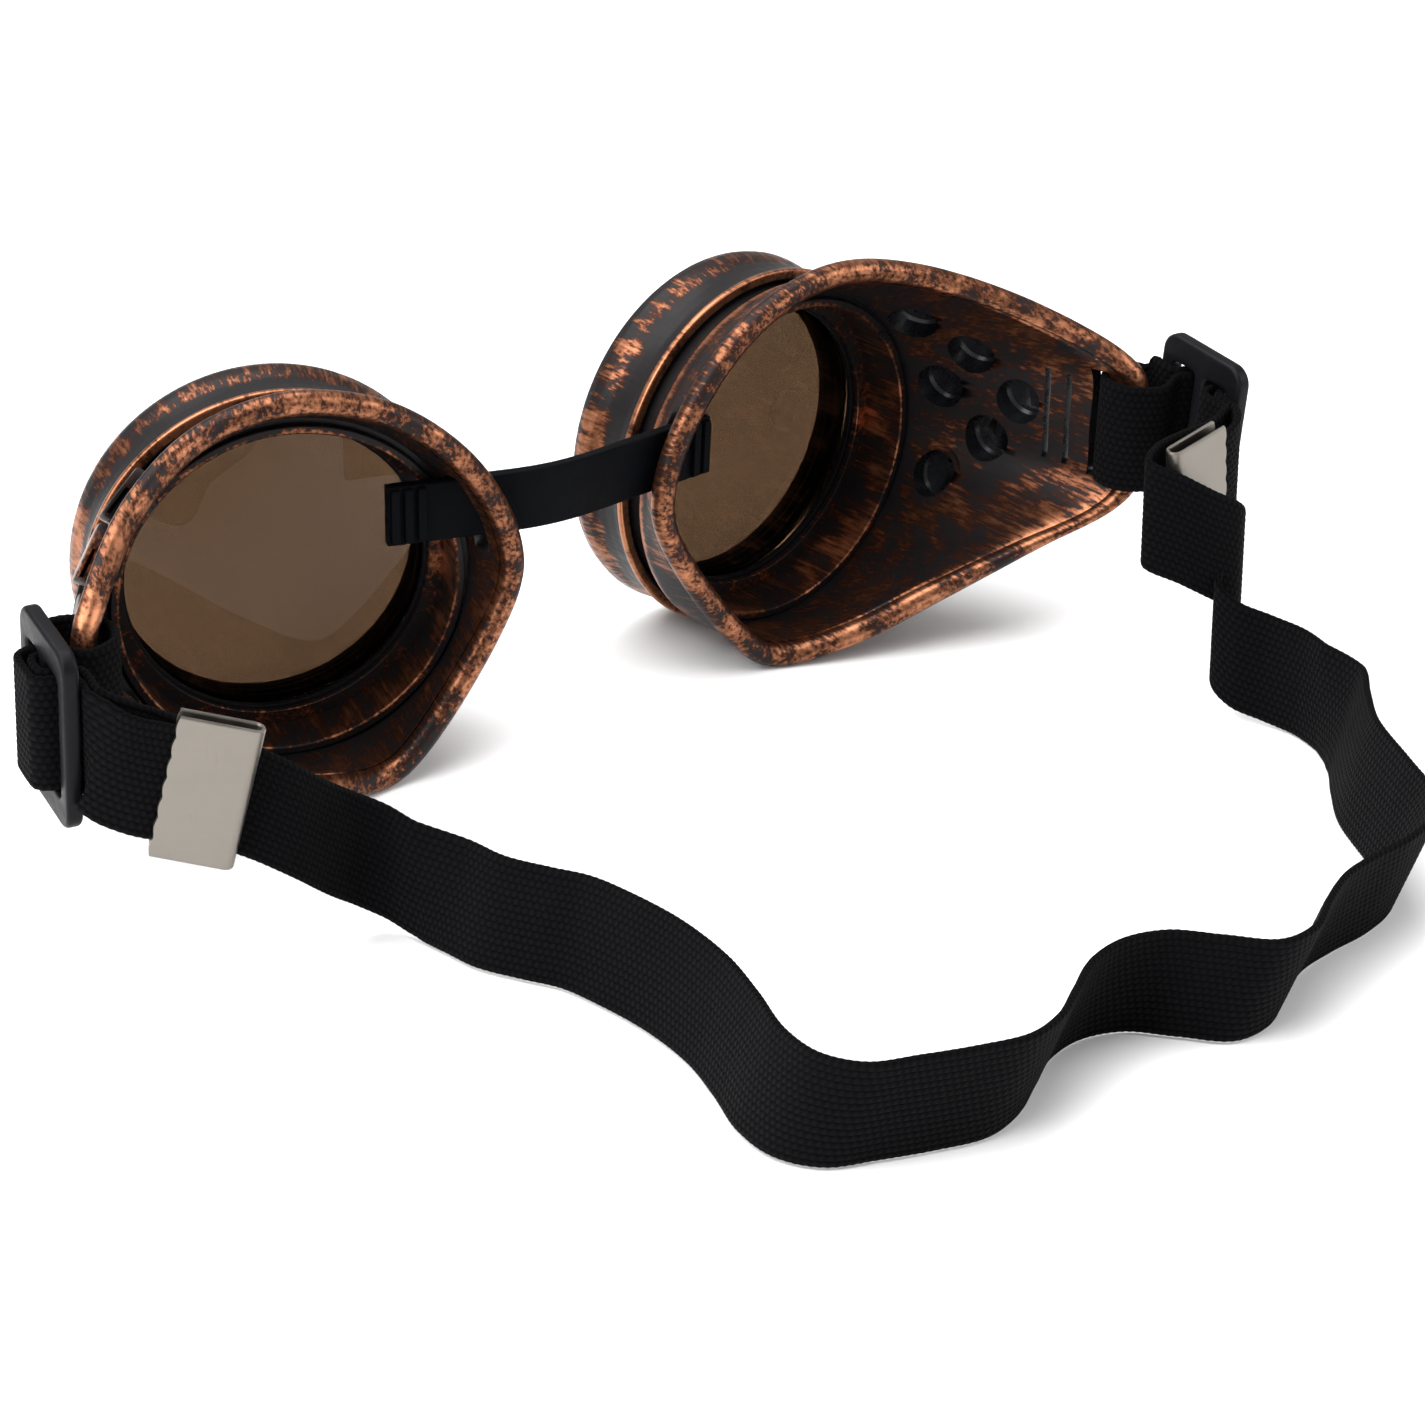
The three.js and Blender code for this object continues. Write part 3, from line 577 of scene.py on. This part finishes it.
def wall_radius(y, degrees):
    """The radius of the wall's outer face at one place round the lens axis."""
    angles = np.degrees(np.arctan2(rim_points[:, 2], rim_points[:, 0]))
    p = rim_points[np.argmin(abs(angles - degrees))]
    line = wall_line(math.hypot(p[0], p[2]), p[1])
    samples = [on_wall(line, t)[0] for t in np.linspace(0, 1, 120)]
    return next(s[0] for s in samples if s[1] <= y)


def wall_lean(y, degrees, reach=4.0):
    """How fast the wall's radius grows with y, round one vent."""
    return (wall_radius(y + reach, degrees) - wall_radius(y - reach, degrees)) / (2 * reach)


def cup_wear_and_glint(points, sign):
    """How much copper the brush left, for each point of a cup in its own frame, with painted
    highlights on the neck's thread crests and round the flange.
    """
    x, y, z = points[:, 0] * sign, points[:, 1], points[:, 2]
    r, angle = np.hypot(x, z), np.arctan2(z, x)
    rim_angle = np.arctan2(rim_points[:, 2], rim_points[:, 0])
    order = np.argsort(rim_angle)
    period = 2 * math.pi
    rim_r = np.interp(angle, rim_angle[order], np.hypot(rim_points[:, 0], rim_points[:, 2])[order],
                      period=period)
    rim_y = np.interp(angle, rim_angle[order], rim_points[order, 1], period=period)
    away = np.hypot(r - rim_r, y - rim_y)
    share = np.clip((FLANGE[1] - y) / (FLANGE[1] - rim_y), 0, 1)
    middle_r = FLANGE[0] + BELLY_AT * (rim_r - FLANGE[0])
    middle_r = middle_r + BELLY * (np.maximum(FLANGE[0], rim_r) - middle_r)
    line_r = ((1 - share) ** 2 * FLANGE[0] + 2 * share * (1 - share) * middle_r
              + share ** 2 * rim_r)
    inside = r < line_r - WALL * 0.5
    wear_and_glint = np.where(inside, 0.42 + 0.10 * share, 0.42 + 0.1 * share)
    vents = np.exp(-((y + 19) / 8) ** 2 - ((angle - 0.22) / 0.6) ** 2)
    wear_and_glint = np.where(inside, wear_and_glint - 0.10 * vents, wear_and_glint)
    wear_and_glint = np.where((r < 27.3) & (y > -11.5), 0.50 - 0.02 * (y + 7), wear_and_glint)
    wear_and_glint = np.where((r >= 27.3) & (r < 29.2) & (y < -9.8) & (y > -12), 0.12, wear_and_glint)
    # painted highlight: the neck is bare black, and the copper on its thread crests stands in for the
    # glint on the glossy crests
    neck = (r > 27.5) & (y > -7.45) & (r < 29.2)
    wear_and_glint = np.where(neck, 0.08 + 0.85 * smoothstep(r, 28.35, 28.65), wear_and_glint)
    # painted highlight: a narrow copper line round the flange stands in for the glint on the ridge
    # there
    flange = (r > 29.2) & (y > -9.6)
    wear_and_glint = np.where(flange, np.maximum(wear_and_glint, 0.9 * np.exp(-((y + 8.2) / 0.7) ** 2)), wear_and_glint)
    bead = smoothstep(-away, -BEAD_R - 0.5, -BEAD_R - 0.02)
    worn = 0.67 - 0.10 * smoothstep(-x, 2, 22)
    return wear_and_glint + (worn - wear_and_glint) * bead


def cutter(label, solids):
    """One mesh of several solids, with the cup's two material slots."""
    whole = join_meshes(*[new_object(label, points, faces) for points, faces in solids])
    whole.data.materials.append(COPPER)
    whole.data.materials.append(GLOSS_BLACK)
    face_outward(whole.data)
    return whole


def vent_solids(sign):
    """The hoods that stand on the wall, and the holes and mouths cut through them."""
    hoods, holes, mouths = [], [], []
    for y, degrees in VENTS:
        r, lean = wall_radius(y, degrees), wall_lean(y, degrees)
        top = r + HOOD_HEIGHT
        roof = top - HOOD_ROOF
        hood = [(HOOD_R, r - HOOD_ROOT), (HOOD_R, top - 0.5), (HOOD_R - 0.15, top - 0.15),
                (HOOD_R - 0.5, top)]
        hole = [(VENT_R, r - VENT_REACH), (VENT_R, roof - 0.5), (VENT_R - 0.4, roof)]
        hoods.append(turn_and_place(hood, degrees, y, sign, lean))
        holes.append(turn_and_place(hole, degrees, y, sign, lean))
        mouths.append(block((roof - HOOD_MOUTH, roof), (-HOOD_R - 1, 0), (-MOUTH_HALF, MOUTH_HALF),
                            sign, degrees, y, lean))
    return hoods, holes, mouths


def make_cup(side):
    sign = SIGN[side]
    points = []
    for x, y, z in rim_even:
        angle = math.atan2(z, x)
        points += [(sign * r * math.cos(angle), h, r * math.sin(angle))
                   for r, h in cup_section(math.hypot(x, z), y)]
    size = len(points) // RIM_STATIONS
    name = f"{side}_cup_shell"
    made = new_object(name, points, ring_faces(RIM_STATIONS, size, True))
    made.data.materials.append(COPPER)
    made.data.materials.append(GLOSS_BLACK)

    hoods, holes, mouths = vent_solids(sign)
    slots = [block(SLIT_X, (y - SLIT_HALF, y + SLIT_HALF), SLIT_Z, sign) for y in SLITS]
    slots += [block(*STRAP_SLOT, sign), block(*BRIDGE_SLOT, sign)]
    boolean(made, cutter("hoods", hoods), "UNION")
    for label, solids in (("holes", holes), ("mouths", mouths), ("slots", slots)):
        tool = cutter(label, solids)
        for face in tool.data.polygons:
            face.material_index = 1
        boolean(made, tool, "DIFFERENCE")
    set_attribute(made, cup_wear_and_glint(points_of(made), sign))
    dress(made, COPPER, "copper_cup", f"{side}_eye_cup", place=CUP[side], body=f"{side}_cup")


# ---------------------------------------------------------------- ring, lenses, washers

LENS_R, FILTER_Y, COVER_Y = 25, (-0.8, 1.7), (2.9, 4.3)
# washers as (inner radius, outer radius, rear, front)
GASKET_SIZE = (23.9, 25, -2.1, -1.1)
SPACER_SIZE = (23.9, 25, 2.0, 2.6)
SLIP_SIZE = (24.1, 28.4, 4.6, 5.1)
# the retaining ring's section as (radius, y)
RING_OUTLINE = [
    (29.0, -4.2), (30.9, -4.2), (30.9, -3.1), (30.15, -2.5), (29.75, -1.0), (29.7, 1.2),
    (29.9, 3.2), (30.5, 4.9), (30.7, 6.7), (30.2, 8.4), (29.4, 9.1), (26.4, 9.1),
    (23.9, 6.9), (23.9, 5.4), (29.0, 5.4),
]


def ring_wear(points):
    """How much copper is left on a retaining ring: most at its lip and its front edge."""
    r, y = np.hypot(points[:, 0], points[:, 2]), points[:, 1]
    wear_and_glint = 0.10 + 0.50 * smoothstep(y, 0.6, 4.0) - 0.22 * smoothstep(y, 6.6, 9.0)
    wear_and_glint = np.maximum(wear_and_glint, 0.92 * smoothstep(-y, 2.3, 3.1))
    wear_and_glint = np.where(r < 29.3, 0.10 + 0.45 * smoothstep(y, 6.5, 9.0), wear_and_glint)
    sweep = np.sin(np.arctan2(points[:, 2], points[:, 0]) * 2 + 0.7)
    return wear_and_glint + 0.07 * sweep


def make_optics(side):
    place = CUP[side]
    body = f"{side}_cup"
    made = turned(f"{side}_ring_shell", rounded(RING_OUTLINE, 0.45))
    set_attribute(made, ring_wear(points_of(made)))
    dress(made, COPPER, "copper_ring", f"{side}_retaining_ring", place=place,
          body=f"{side}_ring")

    def washer(label, size, material, slot, rides):
        inner, outer, rear, front = size
        outline = rounded([(inner, rear), (outer, rear), (outer, front), (inner, front)], 0.15)
        node = f"{side}_{label}"
        dress(turned(f"{node}_turned", outline), material, slot, node, place=place, body=rides)

    washer("seat_gasket", GASKET_SIZE, GASKET, "gasket_rubber", body)
    washer("spacer_washer", SPACER_SIZE, FIBRE, "fibre", body)
    washer("slip_washer", SLIP_SIZE, FIBRE, "fibre", f"{side}_ring_carrier")
    dress(disc(f"{side}_filter_plate", LENS_R, *FILTER_Y), SMOKE, "smoked_lens",
          f"{side}_filter_lens", place=place, body=body)
    dress(disc(f"{side}_cover_plate", LENS_R, *COVER_Y), CLEAR, "cover_lens",
          f"{side}_cover_lens", place=place, body=body)


# ---------------------------------------------------------------- nose bridge

BRIDGE_BEND, BRIDGE_Y, BRIDGE_Z = -34.5, -13.4, 11.0
BRIDGE_END = {"left": -15.0, "right": -21.5}
BRIDGE_RISE = {"left": 1.2, "right": -1.2}
BRIDGE_W, BRIDGE_T = 10.0, 2.0
RIB_COUNT = {"left": 3, "right": 2}
RIB_STEP, RIB_T, RIB_H = 2.13, 3.6, 9.2
# a rib's four rows as (place along the rib in steps, share of its full section)
RIB_ROWS = ((-0.33, 0.93), (-0.29, 1), (0.29, 1), (0.33, 0.93))
BRIDGE_TAIL_ROWS, BRIDGE_SPAN_ROWS = 12, 58


def rectangle(width, height):
    return [(-width / 2, -height / 2), (width / 2, -height / 2), (width / 2, height / 2),
            (-width / 2, height / 2)]


def bridge_route():
    """Places along the strip with their up directions, and the ends of its free span."""
    tails, ups = {}, {}
    for side in SIDES:
        z = BRIDGE_Z + BRIDGE_RISE[side]
        xs = np.linspace(BRIDGE_END[side], BRIDGE_BEND, BRIDGE_TAIL_ROWS)
        tails[side] = [from_cup(side, x, BRIDGE_Y, z) for x in xs]
        ups[side] = unit(from_cup(side, 0, 0, 1) - from_cup(side, 0, 0, 0))
    a, b = tails["left"][-1], tails["right"][-1]
    reach = np.linalg.norm(b - a) / 3
    c = a + unit(a - tails["left"][-2]) * reach
    d = b + unit(b - tails["right"][-2]) * reach
    ts = np.linspace(0, 1, BRIDGE_SPAN_ROWS + 2)[1:-1]
    span = [(1 - t) ** 3 * a + 3 * t * (1 - t) ** 2 * c + 3 * t * t * (1 - t) * d + t ** 3 * b
            for t in ts]
    path = np.array([*tails["left"], *span, *tails["right"][::-1]])
    up_at = [ups["left"]] * BRIDGE_TAIL_ROWS
    up_at += [unit(ups["left"] * (1 - t) + ups["right"] * t) for t in ts]
    up_at += [ups["right"]] * BRIDGE_TAIL_ROWS
    return path, up_at, a, b


def bridge_ribs():
    section = rounded(rectangle(RIB_T, RIB_H), 0.5)
    ribs = []
    for side in SIDES:
        z0 = BRIDGE_Z + BRIDGE_RISE[side]
        for i in range(RIB_COUNT[side]):
            middle = BRIDGE_END[side] - (i + 0.5) * RIB_STEP
            rib = [from_cup(side, middle + x * RIB_STEP, BRIDGE_Y + k * y, z0 + k * z)
                   for x, k in RIB_ROWS for y, z in section]
            ribs.append(new_object("rib", rib, ring_faces(len(RIB_ROWS), len(section), False)))
    return ribs


def make_bridge():
    path, up_at, start, end = bridge_route()
    outline = rounded(rectangle(BRIDGE_T, BRIDGE_W), 0.45)
    points = []
    for at, up, run in zip(path, up_at, np.gradient(path, axis=0)):
        out = unit(np.cross(up, run))
        points += [at + out * o + up * w for o, w in outline]
    made = new_object("nose_bridge_strip", points, ring_faces(len(path), len(outline), False))
    join_meshes(made, *bridge_ribs())
    dress(made, RUBBER, "bridge_rubber", "left_nose_bridge", "right_nose_bridge")
    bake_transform(made)


# ---------------------------------------------------------------- slider and clip

SLIDER_AT = np.array((46.2, -59.6, 10.2))
SLIDER_ALONG = unit(np.array((-0.13, -0.98, -0.06)))
SLIDER_LENGTH, SLIDER_HEIGHT, SLIDER_T = 19.0, 28.6, 2.5
SLIDER_CORNER, SLIDER_BEVEL = 3.2, 0.7
WINDOW, WINDOW_HEIGHT, WINDOW_AT, WINDOW_CORNER = 5.2, 19.4, 3.9, 0.9


def across_strip(along):
    """The outward and up directions of a band that runs along a direction."""
    outward = unit(np.array((-along[1], along[0], 0)))
    return outward, unit(np.cross(along, outward))


SLIDER_OUT, SLIDER_UP = across_strip(SLIDER_ALONG)


def plate_outline(width, height, corner, at=0.0):
    """A rectangle with round corners, as a closed list of (x, y)."""
    points = []
    for quarter, (sx, sy) in enumerate(((1, 1), (-1, 1), (-1, -1), (1, -1))):
        for k in range(9):
            a = math.pi / 2 * (quarter + k / 8)
            points.append((at + sx * (width / 2 - corner) + corner * math.cos(a),
                           sy * (height / 2 - corner) + corner * math.sin(a)))
    return points


def make_slider(side):
    """A flat frame with two windows: a bevelled 2D curve, turned into a mesh."""
    curve = bpy.data.curves.new("slider", "CURVE")
    curve.dimensions = "2D"
    curve.fill_mode = "BOTH"
    bevel = SLIDER_BEVEL * MM
    curve.bevel_depth = bevel
    curve.bevel_resolution = 4
    curve.extrude = SLIDER_T / 2 * MM - bevel
    curve.offset = -bevel
    outlines = [plate_outline(SLIDER_LENGTH, SLIDER_HEIGHT, SLIDER_CORNER)]
    outlines += [plate_outline(WINDOW, WINDOW_HEIGHT, WINDOW_CORNER, at)
                 for at in (-WINDOW_AT, WINDOW_AT)]
    for outline in outlines:
        spline = curve.splines.new("POLY")
        spline.points.add(len(outline) - 1)
        spline.use_cyclic_u = True
        for point, (x, y) in zip(spline.points, outline):
            point.co = (x * MM, y * MM, 0, 1)
    drawn = bpy.data.objects.new("slider_drawn", curve)
    bpy.context.scene.collection.objects.link(drawn)
    graph = bpy.context.evaluated_depsgraph_get()
    mesh = bpy.data.meshes.new_from_object(drawn.evaluated_get(graph), depsgraph=graph)
    bpy.data.objects.remove(drawn)
    sign = SIGN[side]
    local = Matrix([[*SLIDER_ALONG], [*SLIDER_UP], [*SLIDER_OUT]]).transposed().to_4x4()
    local.translation = Vector(SLIDER_AT) * MM
    mesh.transform(Matrix.Diagonal((sign, 1, 1, 1)) @ local)
    weld = bmesh.new()
    weld.from_mesh(mesh)
    bmesh.ops.remove_doubles(weld, verts=weld.verts, dist=0.01 * MM)
    weld.to_mesh(mesh)
    weld.free()
    face_outward(mesh)
    mesh.materials.clear()
    made = bpy.data.objects.new(f"{side}_slider_frame", mesh)
    bpy.context.scene.collection.objects.link(made)
    dress(made, NYLON, "black_nylon", f"{side}_strap_slider", place=CUP[side],
          body=f"{side}_slider")


CLIP_SHEET, CLIP_HEIGHT, CLIP_LENGTH, CLIP_TEETH = 0.6, 22.6, 12.6, 7
CLIP_INNER = 0.9                     # radius inside the fold
CLIP_ROWS = 113
CLIP_OVERHANG = 1.2                  # from the tail's last place to the inside of the fold


def clip_section(start, thin):
    """The folded sheet's outline: out along its outer faces, and back along its inner ones."""
    outer = CLIP_INNER + CLIP_SHEET
    straight = CLIP_LENGTH - outer
    section = []
    for radius, turn, lip in ((outer - thin, 1, 0.1), (CLIP_INNER + thin, -1, 0.0)):
        leaf = [(start + lip, -radius), (start + 0.5, -radius)]
        leaf += [(straight * s, -radius) for s in (0.25, 0.5, 0.75)]
        leaf += [(straight + radius * math.cos(a), radius * math.sin(a))
                 for a in np.radians(np.linspace(-90, 90, 13))]
        leaf += [(straight * s, radius) for s in (0.75, 0.5, 0.25)]
        leaf += [(start + 0.5, radius), (start + lip, radius)]
        section += leaf[::turn]
    return section


def make_clip(side):
    """A sheet folded once: rows up its height, each row following the fold's section."""
    end, before = np.array(TAIL[side][-1]), np.array(TAIL[side][-2])
    along = unit(end - before)
    outward, up = across_strip(along)
    origin = end - along * (CLIP_LENGTH - CLIP_SHEET - CLIP_OVERHANG)
    points = []
    for r in range(CLIP_ROWS):
        z = CLIP_HEIGHT * (r / (CLIP_ROWS - 1) - 0.5)
        thin = 0.12 * smoothstep(abs(2 * z) / CLIP_HEIGHT, 0.985, 1.0)
        wave = 0.28 * abs(math.sin(math.pi * CLIP_TEETH * (z / CLIP_HEIGHT + 0.5)))
        points += [origin + along * x + outward * y + up * z
                   for x, y in clip_section(0.55 - wave, thin)]
    size = len(points) // CLIP_ROWS
    last_row = (CLIP_ROWS - 1) * size
    faces = ring_faces(CLIP_ROWS, size, True)[:last_row]
    for base in (0, last_row):
        faces += [(base + k, base + k + 1, base + size - 2 - k, base + size - 1 - k)
                  for k in range(size // 2 - 1)]
    sign = SIGN[side]
    made = new_object(f"{side}_clip_sheet", [(sign * x, y, z) for x, y, z in points], faces)
    dress(made, NICKEL, "nickel_clip", f"{side}_end_clip", place=CUP[side], body=f"{side}_cup")


# ---------------------------------------------------------------- strap

STRAP_W, STRAP_T = 18.6, 1.2
RIB_PITCH, STITCH_PITCH = 1.15, 1.1
SLOT_Z = 9.0
SELVAGE = 0.3                        # rounded part of the band at each edge
RIB_DEPTH = 0.09                     # depth of the knit, on the faces and at the edges
STEPS_PER_PLACE = 24
BACK_SHIFT = 200                     # moves the back face's weave away from the front's
# where one side's route is cut into tail, front, back and loop, in places from the tail's end
CUTS = (0, 11.5, 32.5, 44)
# each piece's label, with two distances in mm along the slide from the slider, where it would follow
# the cup alone and the slider alone; only the labels are used
BLENDS = {"tail": (16.0, 6.0), "front": (-14.5, -5.3), "back": (16.0, 6.0)}
# lean of the band that stands on the table: it grows towards the rear of the loop
LEAN_X, LEAN_Y, LEAN_MORE, LEAN_FROM, LEAN_TO = 0.19, -0.15, 0.18, 110, 150
STAND_Z = 0.3                        # lower edge of the standing band above the table

# round the tip of the cup, through its slot, as (x, y)
TIP_LOOP = [
    (45.3, -48.6), (43.9, -45.7), (41.2, -44.9), (38.2, -45.9), (35.9, -47.6), (34.9, -50.4),
    (35.5, -53.4), (37.6, -55.5), (40.4, -56.6),
]
# the free tail, from the slider to its clip
TAIL = {
    "left": [(41.8, -71.2, 8.5), (39.8, -72.7, 7.4), (36.2, -73.9, 6.1), (30.0, -75.5, 4.6),
             (23.9, -77.1, 3.1)],
    "right": [(41.2, -72.2, 9.4), (37.8, -73.7, 8.8), (34.5, -74.0, 8.2), (30.3, -74.0, 7.4),
              (25.2, -74.1, 6.6)],
}
# the band in the slider, as (along, outward): the outer layer up to its middle, then the inner
OUTER_HALF = [(10.1, -2.15), (6.4, -2.15), (5.1, -1.55), (4.5, 0.4), (4.3, 2.2), (3.3, 3.6),
              (1.6, 3.8)]
INNER_LAYER = [(-3.2, -2.9), (-2.7, -1.2), (-2.6, 0.6), (-2.1, 1.9), (-0.9, 2.25), (0.9, 2.25),
               (2.1, 1.9), (2.6, 0.6), (2.8, -1.4), (3.6, -3.3), (5.2, -3.7), (9.6, -3.7)]
# the head loop: (x, y, z) where it hangs, (x, y) where it stands on the table
HEAD_LOOP = [
    (-99.3, -64.5, 35.5), (-96.2, -66.2, 34.0), (-92.9, -66.4, 32.2), (-87.9, -69.0, 29.8),
    (-82.3, -71.8, 27.0), (-76.0, -72.8, 22.6), (-70.0, -70.8, 17.6), (-64.5, -69.2, 13.6),
    (-60.5, -70.8, 11.2), (-58.2, -75.4, 9.8), (-57.0, -81.0), (-55.2, -88.0), (-51.4, -94.4),
    (-48.0, -99.6), (-45.8, -107.0), (-44.0, -117.0), (-43.8, -128.0), (-45.4, -137.5),
    (-47.6, -147.5), (-47.0, -155.5), (-43.0, -160.8), (-36.0, -162.8), (-28.0, -164.6),
    (-20.5, -165.4), (-14.0, -162.8), (-7.5, -157.5), (-1.0, -152.2), (6.0, -149.8),
    (12.5, -151.0), (18.0, -156.0), (24.0, -161.2), (30.5, -160.2), (37.5, -154.6),
    (44.8, -149.6), (52.0, -147.2), (60.0, -145.2), (67.5, -141.4), (72.4, -134.8),
    (75.4, -127.0), (80.0, -115.0), (85.4, -106.4), (90.6, -98.6), (94.0, -92.0, 9.3),
    (94.6, -85.6, 9.4), (92.8, -79.4, 9.9), (89.6, -74.6, 11.4), (88.6, -71.2, 14.0),
    (92.0, -69.2, 18.8), (94.8, -68.6, 23.4), (92.6, -70.2, 26.2), (88.4, -69.8, 28.6),
    (83.8, -67.4, 31.4), (79.8, -63.4, 33.6), (83.9, -60.0, 34.4), (89.9, -58.5, 34.9),
    (96.2, -57.9, 35.5), (99.1, -56.4, 36.0),
]


def end_places(side):
    """Places of one side's strap from the end of its tail to the head loop, with their ups."""
    origin = from_cup(side, 0, 0, 0)

    def place(point, up):
        return from_cup(side, *point), unit(from_cup(side, *up) - origin)

    tail_curve = centripetal(TAIL[side])
    places = []
    for i in reversed(range(len(TAIL[side]))):
        _, run = on_curve(tail_curve, i)
        places.append(place(TAIL[side][i], across_strip(run)[1]))
    outer = [*[(-a, out) for a, out in OUTER_HALF], *OUTER_HALF[::-1]][::-1]

    def in_slider(pairs):
        return [place(SLIDER_AT + SLIDER_ALONG * a + SLIDER_OUT * out, SLIDER_UP)
                for a, out in pairs]

    places += in_slider(outer)
    places += [place((x, y, SLOT_Z), (0, 0, 1)) for x, y in TIP_LOOP]
    return places + in_slider(INNER_LAYER)


def head_places():
    """Places of the head loop with their ups, in row millimetres."""
    places = []
    for point in HEAD_LOOP:
        if len(point) == 2:
            lean_y = LEAN_Y - LEAN_MORE * smoothstep(-point[1], LEAN_FROM, LEAN_TO)
            lean = unit(np.array((LEAN_X, lean_y, 1)))
            places.append((np.array((*point, STAND_Z)) + lean * STRAP_W / 2, lean))
        else:
            places.append((np.array(point), np.array((0, 0, 1.0))))
    return [(at + np.array(TO_ROW), up) for at, up in places]


def strap_section():
    """The band's outline as (out, across): ribs on both faces and rounded selvages."""
    ribs = round(STRAP_W / RIB_PITCH)
    half = STRAP_W / 2
    across = np.linspace(-half + SELVAGE, half - SELVAGE, 2 * ribs + 1)
    face = [(STRAP_T / 2 - (RIB_DEPTH if k % 2 == 0 else 0.0), v) for k, v in enumerate(across)]
    edge = [(0.40, half - 0.08), (0.15, half), (-0.15, half), (-0.40, half - 0.08)]
    back = [(-o, v) for o, v in reversed(face)]
    return [*face, *edge, *back, *[(-o, -v) for o, v in edge]]


def make_strap_piece(name, curve, ups, first, last, slot_nodes=()):
    """One stretch of the band between two places of its route; returns it and its length."""
    ts = np.linspace(first, last, int((last - first) * STEPS_PER_PLACE) + 1)
    path = np.array([on_curve(curve, t)[0] for t in ts])
    lengths = np.r_[0, np.cumsum(np.linalg.norm(np.diff(path, axis=0), axis=1))]
    count = max(8, round(lengths[-1] / (STITCH_PITCH / 2)))
    even = np.interp(np.linspace(0, lengths[-1], count + 1), lengths, ts)
    section = strap_section()
    half = STRAP_W / 2
    points, coords = [], []
    for i, t in enumerate(even):
        at, run = on_curve(curve, t)
        k = min(int(t), len(ups) - 2)
        up = unit(ups[k] * (1 - t + k) + ups[k + 1] * (t - k))
        out = unit(np.cross(up, run))
        knob = RIB_DEPTH * (i % 2)
        for o, v in section:
            reach = v - math.copysign(knob, v) if abs(v) > half - 0.1 else v
            points.append(at + out * o + up * reach)
        coords.append(i * lengths[-1] / count)
    size = len(section)
    made = new_object(name, points, ring_faces(len(even), size, False))
    layer = made.data.uv_layers.new(name="weave")
    across = [v if o > 0 else v + BACK_SHIFT for o, v in section]
    for loop in made.data.loops:
        row, k = divmod(loop.vertex_index, size)
        layer.data[loop.index].uv = (coords[row], across[k])
    dress(made, WEBBING, "elastic_webbing", *slot_nodes)
    return made, lengths[-1]


def make_strap():
    left, right = end_places("left"), end_places("right")
    places = [*left, *head_places(), *right[::-1]]
    curve = centripetal([at for at, _ in places])
    ups = [up for _, up in places]
    last = len(places) - 1
    for side in SIDES:
        for (label, (still, moving)), a, b in zip(BLENDS.items(), CUTS, CUTS[1:]):
            span = (a, b) if side == "left" else (last - b, last - a)
            made, length = make_strap_piece(f"{side}_strap_{label}", curve, ups, *span)
            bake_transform(made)
    made, length = make_strap_piece("strap_loop", curve, ups, CUTS[-1], last - CUTS[-1],
                                    ("left_strap_half", "right_strap_half"))
    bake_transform(made)


# ---------------------------------------------------------------- table and studio


def make_table(size=3.0, gap=0.0001):
    mesh = bpy.data.meshes.new("table")
    mesh.from_pydata([(-size, -size, 0), (size, -size, 0), (size, size, 0), (-size, size, 0)],
                     [], [(0, 1, 2, 3)])
    table = bpy.data.objects.new("table", mesh)
    bpy.context.scene.collection.objects.link(table)
    table.location.z = -gap
    paper = Finish("pale_paper", Roughness=0.85)
    grain = paper.noise(paper.drawn_point((40, 40, 40)), detail=3)
    paper.set("Base Color", paper.mix(grain, rgb(0.90, 0.90, 0.90), rgb(0.93, 0.93, 0.93)))
    mesh.materials.append(paper.material)


def make_studio():
    """Even pale surroundings and three soft boxes; places in metres, power in watts."""
    world = bpy.data.worlds.new("studio")
    bpy.context.scene.world = world
    world.use_nodes = True
    background = world.node_tree.nodes["Background"]
    background.inputs["Color"].default_value = rgb(1, 1, 1)
    background.inputs["Strength"].default_value = 0.5
    middle = (0, 0, 0.03)
    make_light("top_softbox", (-0.25, 0.15, 1.1), middle, (1.6, 1.3), 27)
    make_light("left_softbox", (-1.1, -0.2, 0.65), middle, (0.9, 1.1), 13)
    make_light("right_softbox", (0.9, -0.75, 0.7), middle, (0.9, 0.9), 8)
    bpy.context.scene.view_settings.view_transform = "Standard"


# ---------------------------------------------------------------- assembly

make_camera()
make_table()
make_studio()

COPPER = brushed_copper("brushed_copper")
GLOSS_BLACK = moulded("gloss_black", rgb(0.004, 0.004, 0.005), rgb(0.009, 0.010, 0.012), 0.28,
                      Specular_IOR_Level=0.3)
RUBBER = moulded("bridge_rubber", rgb(0.0014, 0.0016, 0.0022), rgb(0.0025, 0.003, 0.004), 0.5,
                 Specular_IOR_Level=0.03)
GASKET = moulded("gasket_rubber", rgb(0.003, 0.003, 0.004), rgb(0.006, 0.006, 0.007), 0.6,
                 Specular_IOR_Level=0.15)
FIBRE = moulded("dark_fibre", rgb(0.018, 0.012, 0.009), rgb(0.035, 0.024, 0.018), 0.75, 1500, 0.5)
NYLON = moulded("satin_nylon", rgb(0.004, 0.004, 0.005), rgb(0.006, 0.006, 0.0075), 0.40, 700,
                Specular_IOR_Level=0.09)
SMOKE = lens_glass("smoked_glass", (0.062, 0.036, 0.0205))
CLEAR = lens_glass("clear_glass", (0.93, 0.92, 0.90))
WEBBING = knitted("knitted_elastic")
NICKEL = plated("nickel_plate")

for side in SIDES:
    make_cup(side)
    make_optics(side)
    make_slider(side)
    make_clip(side)
make_bridge()
make_strap()
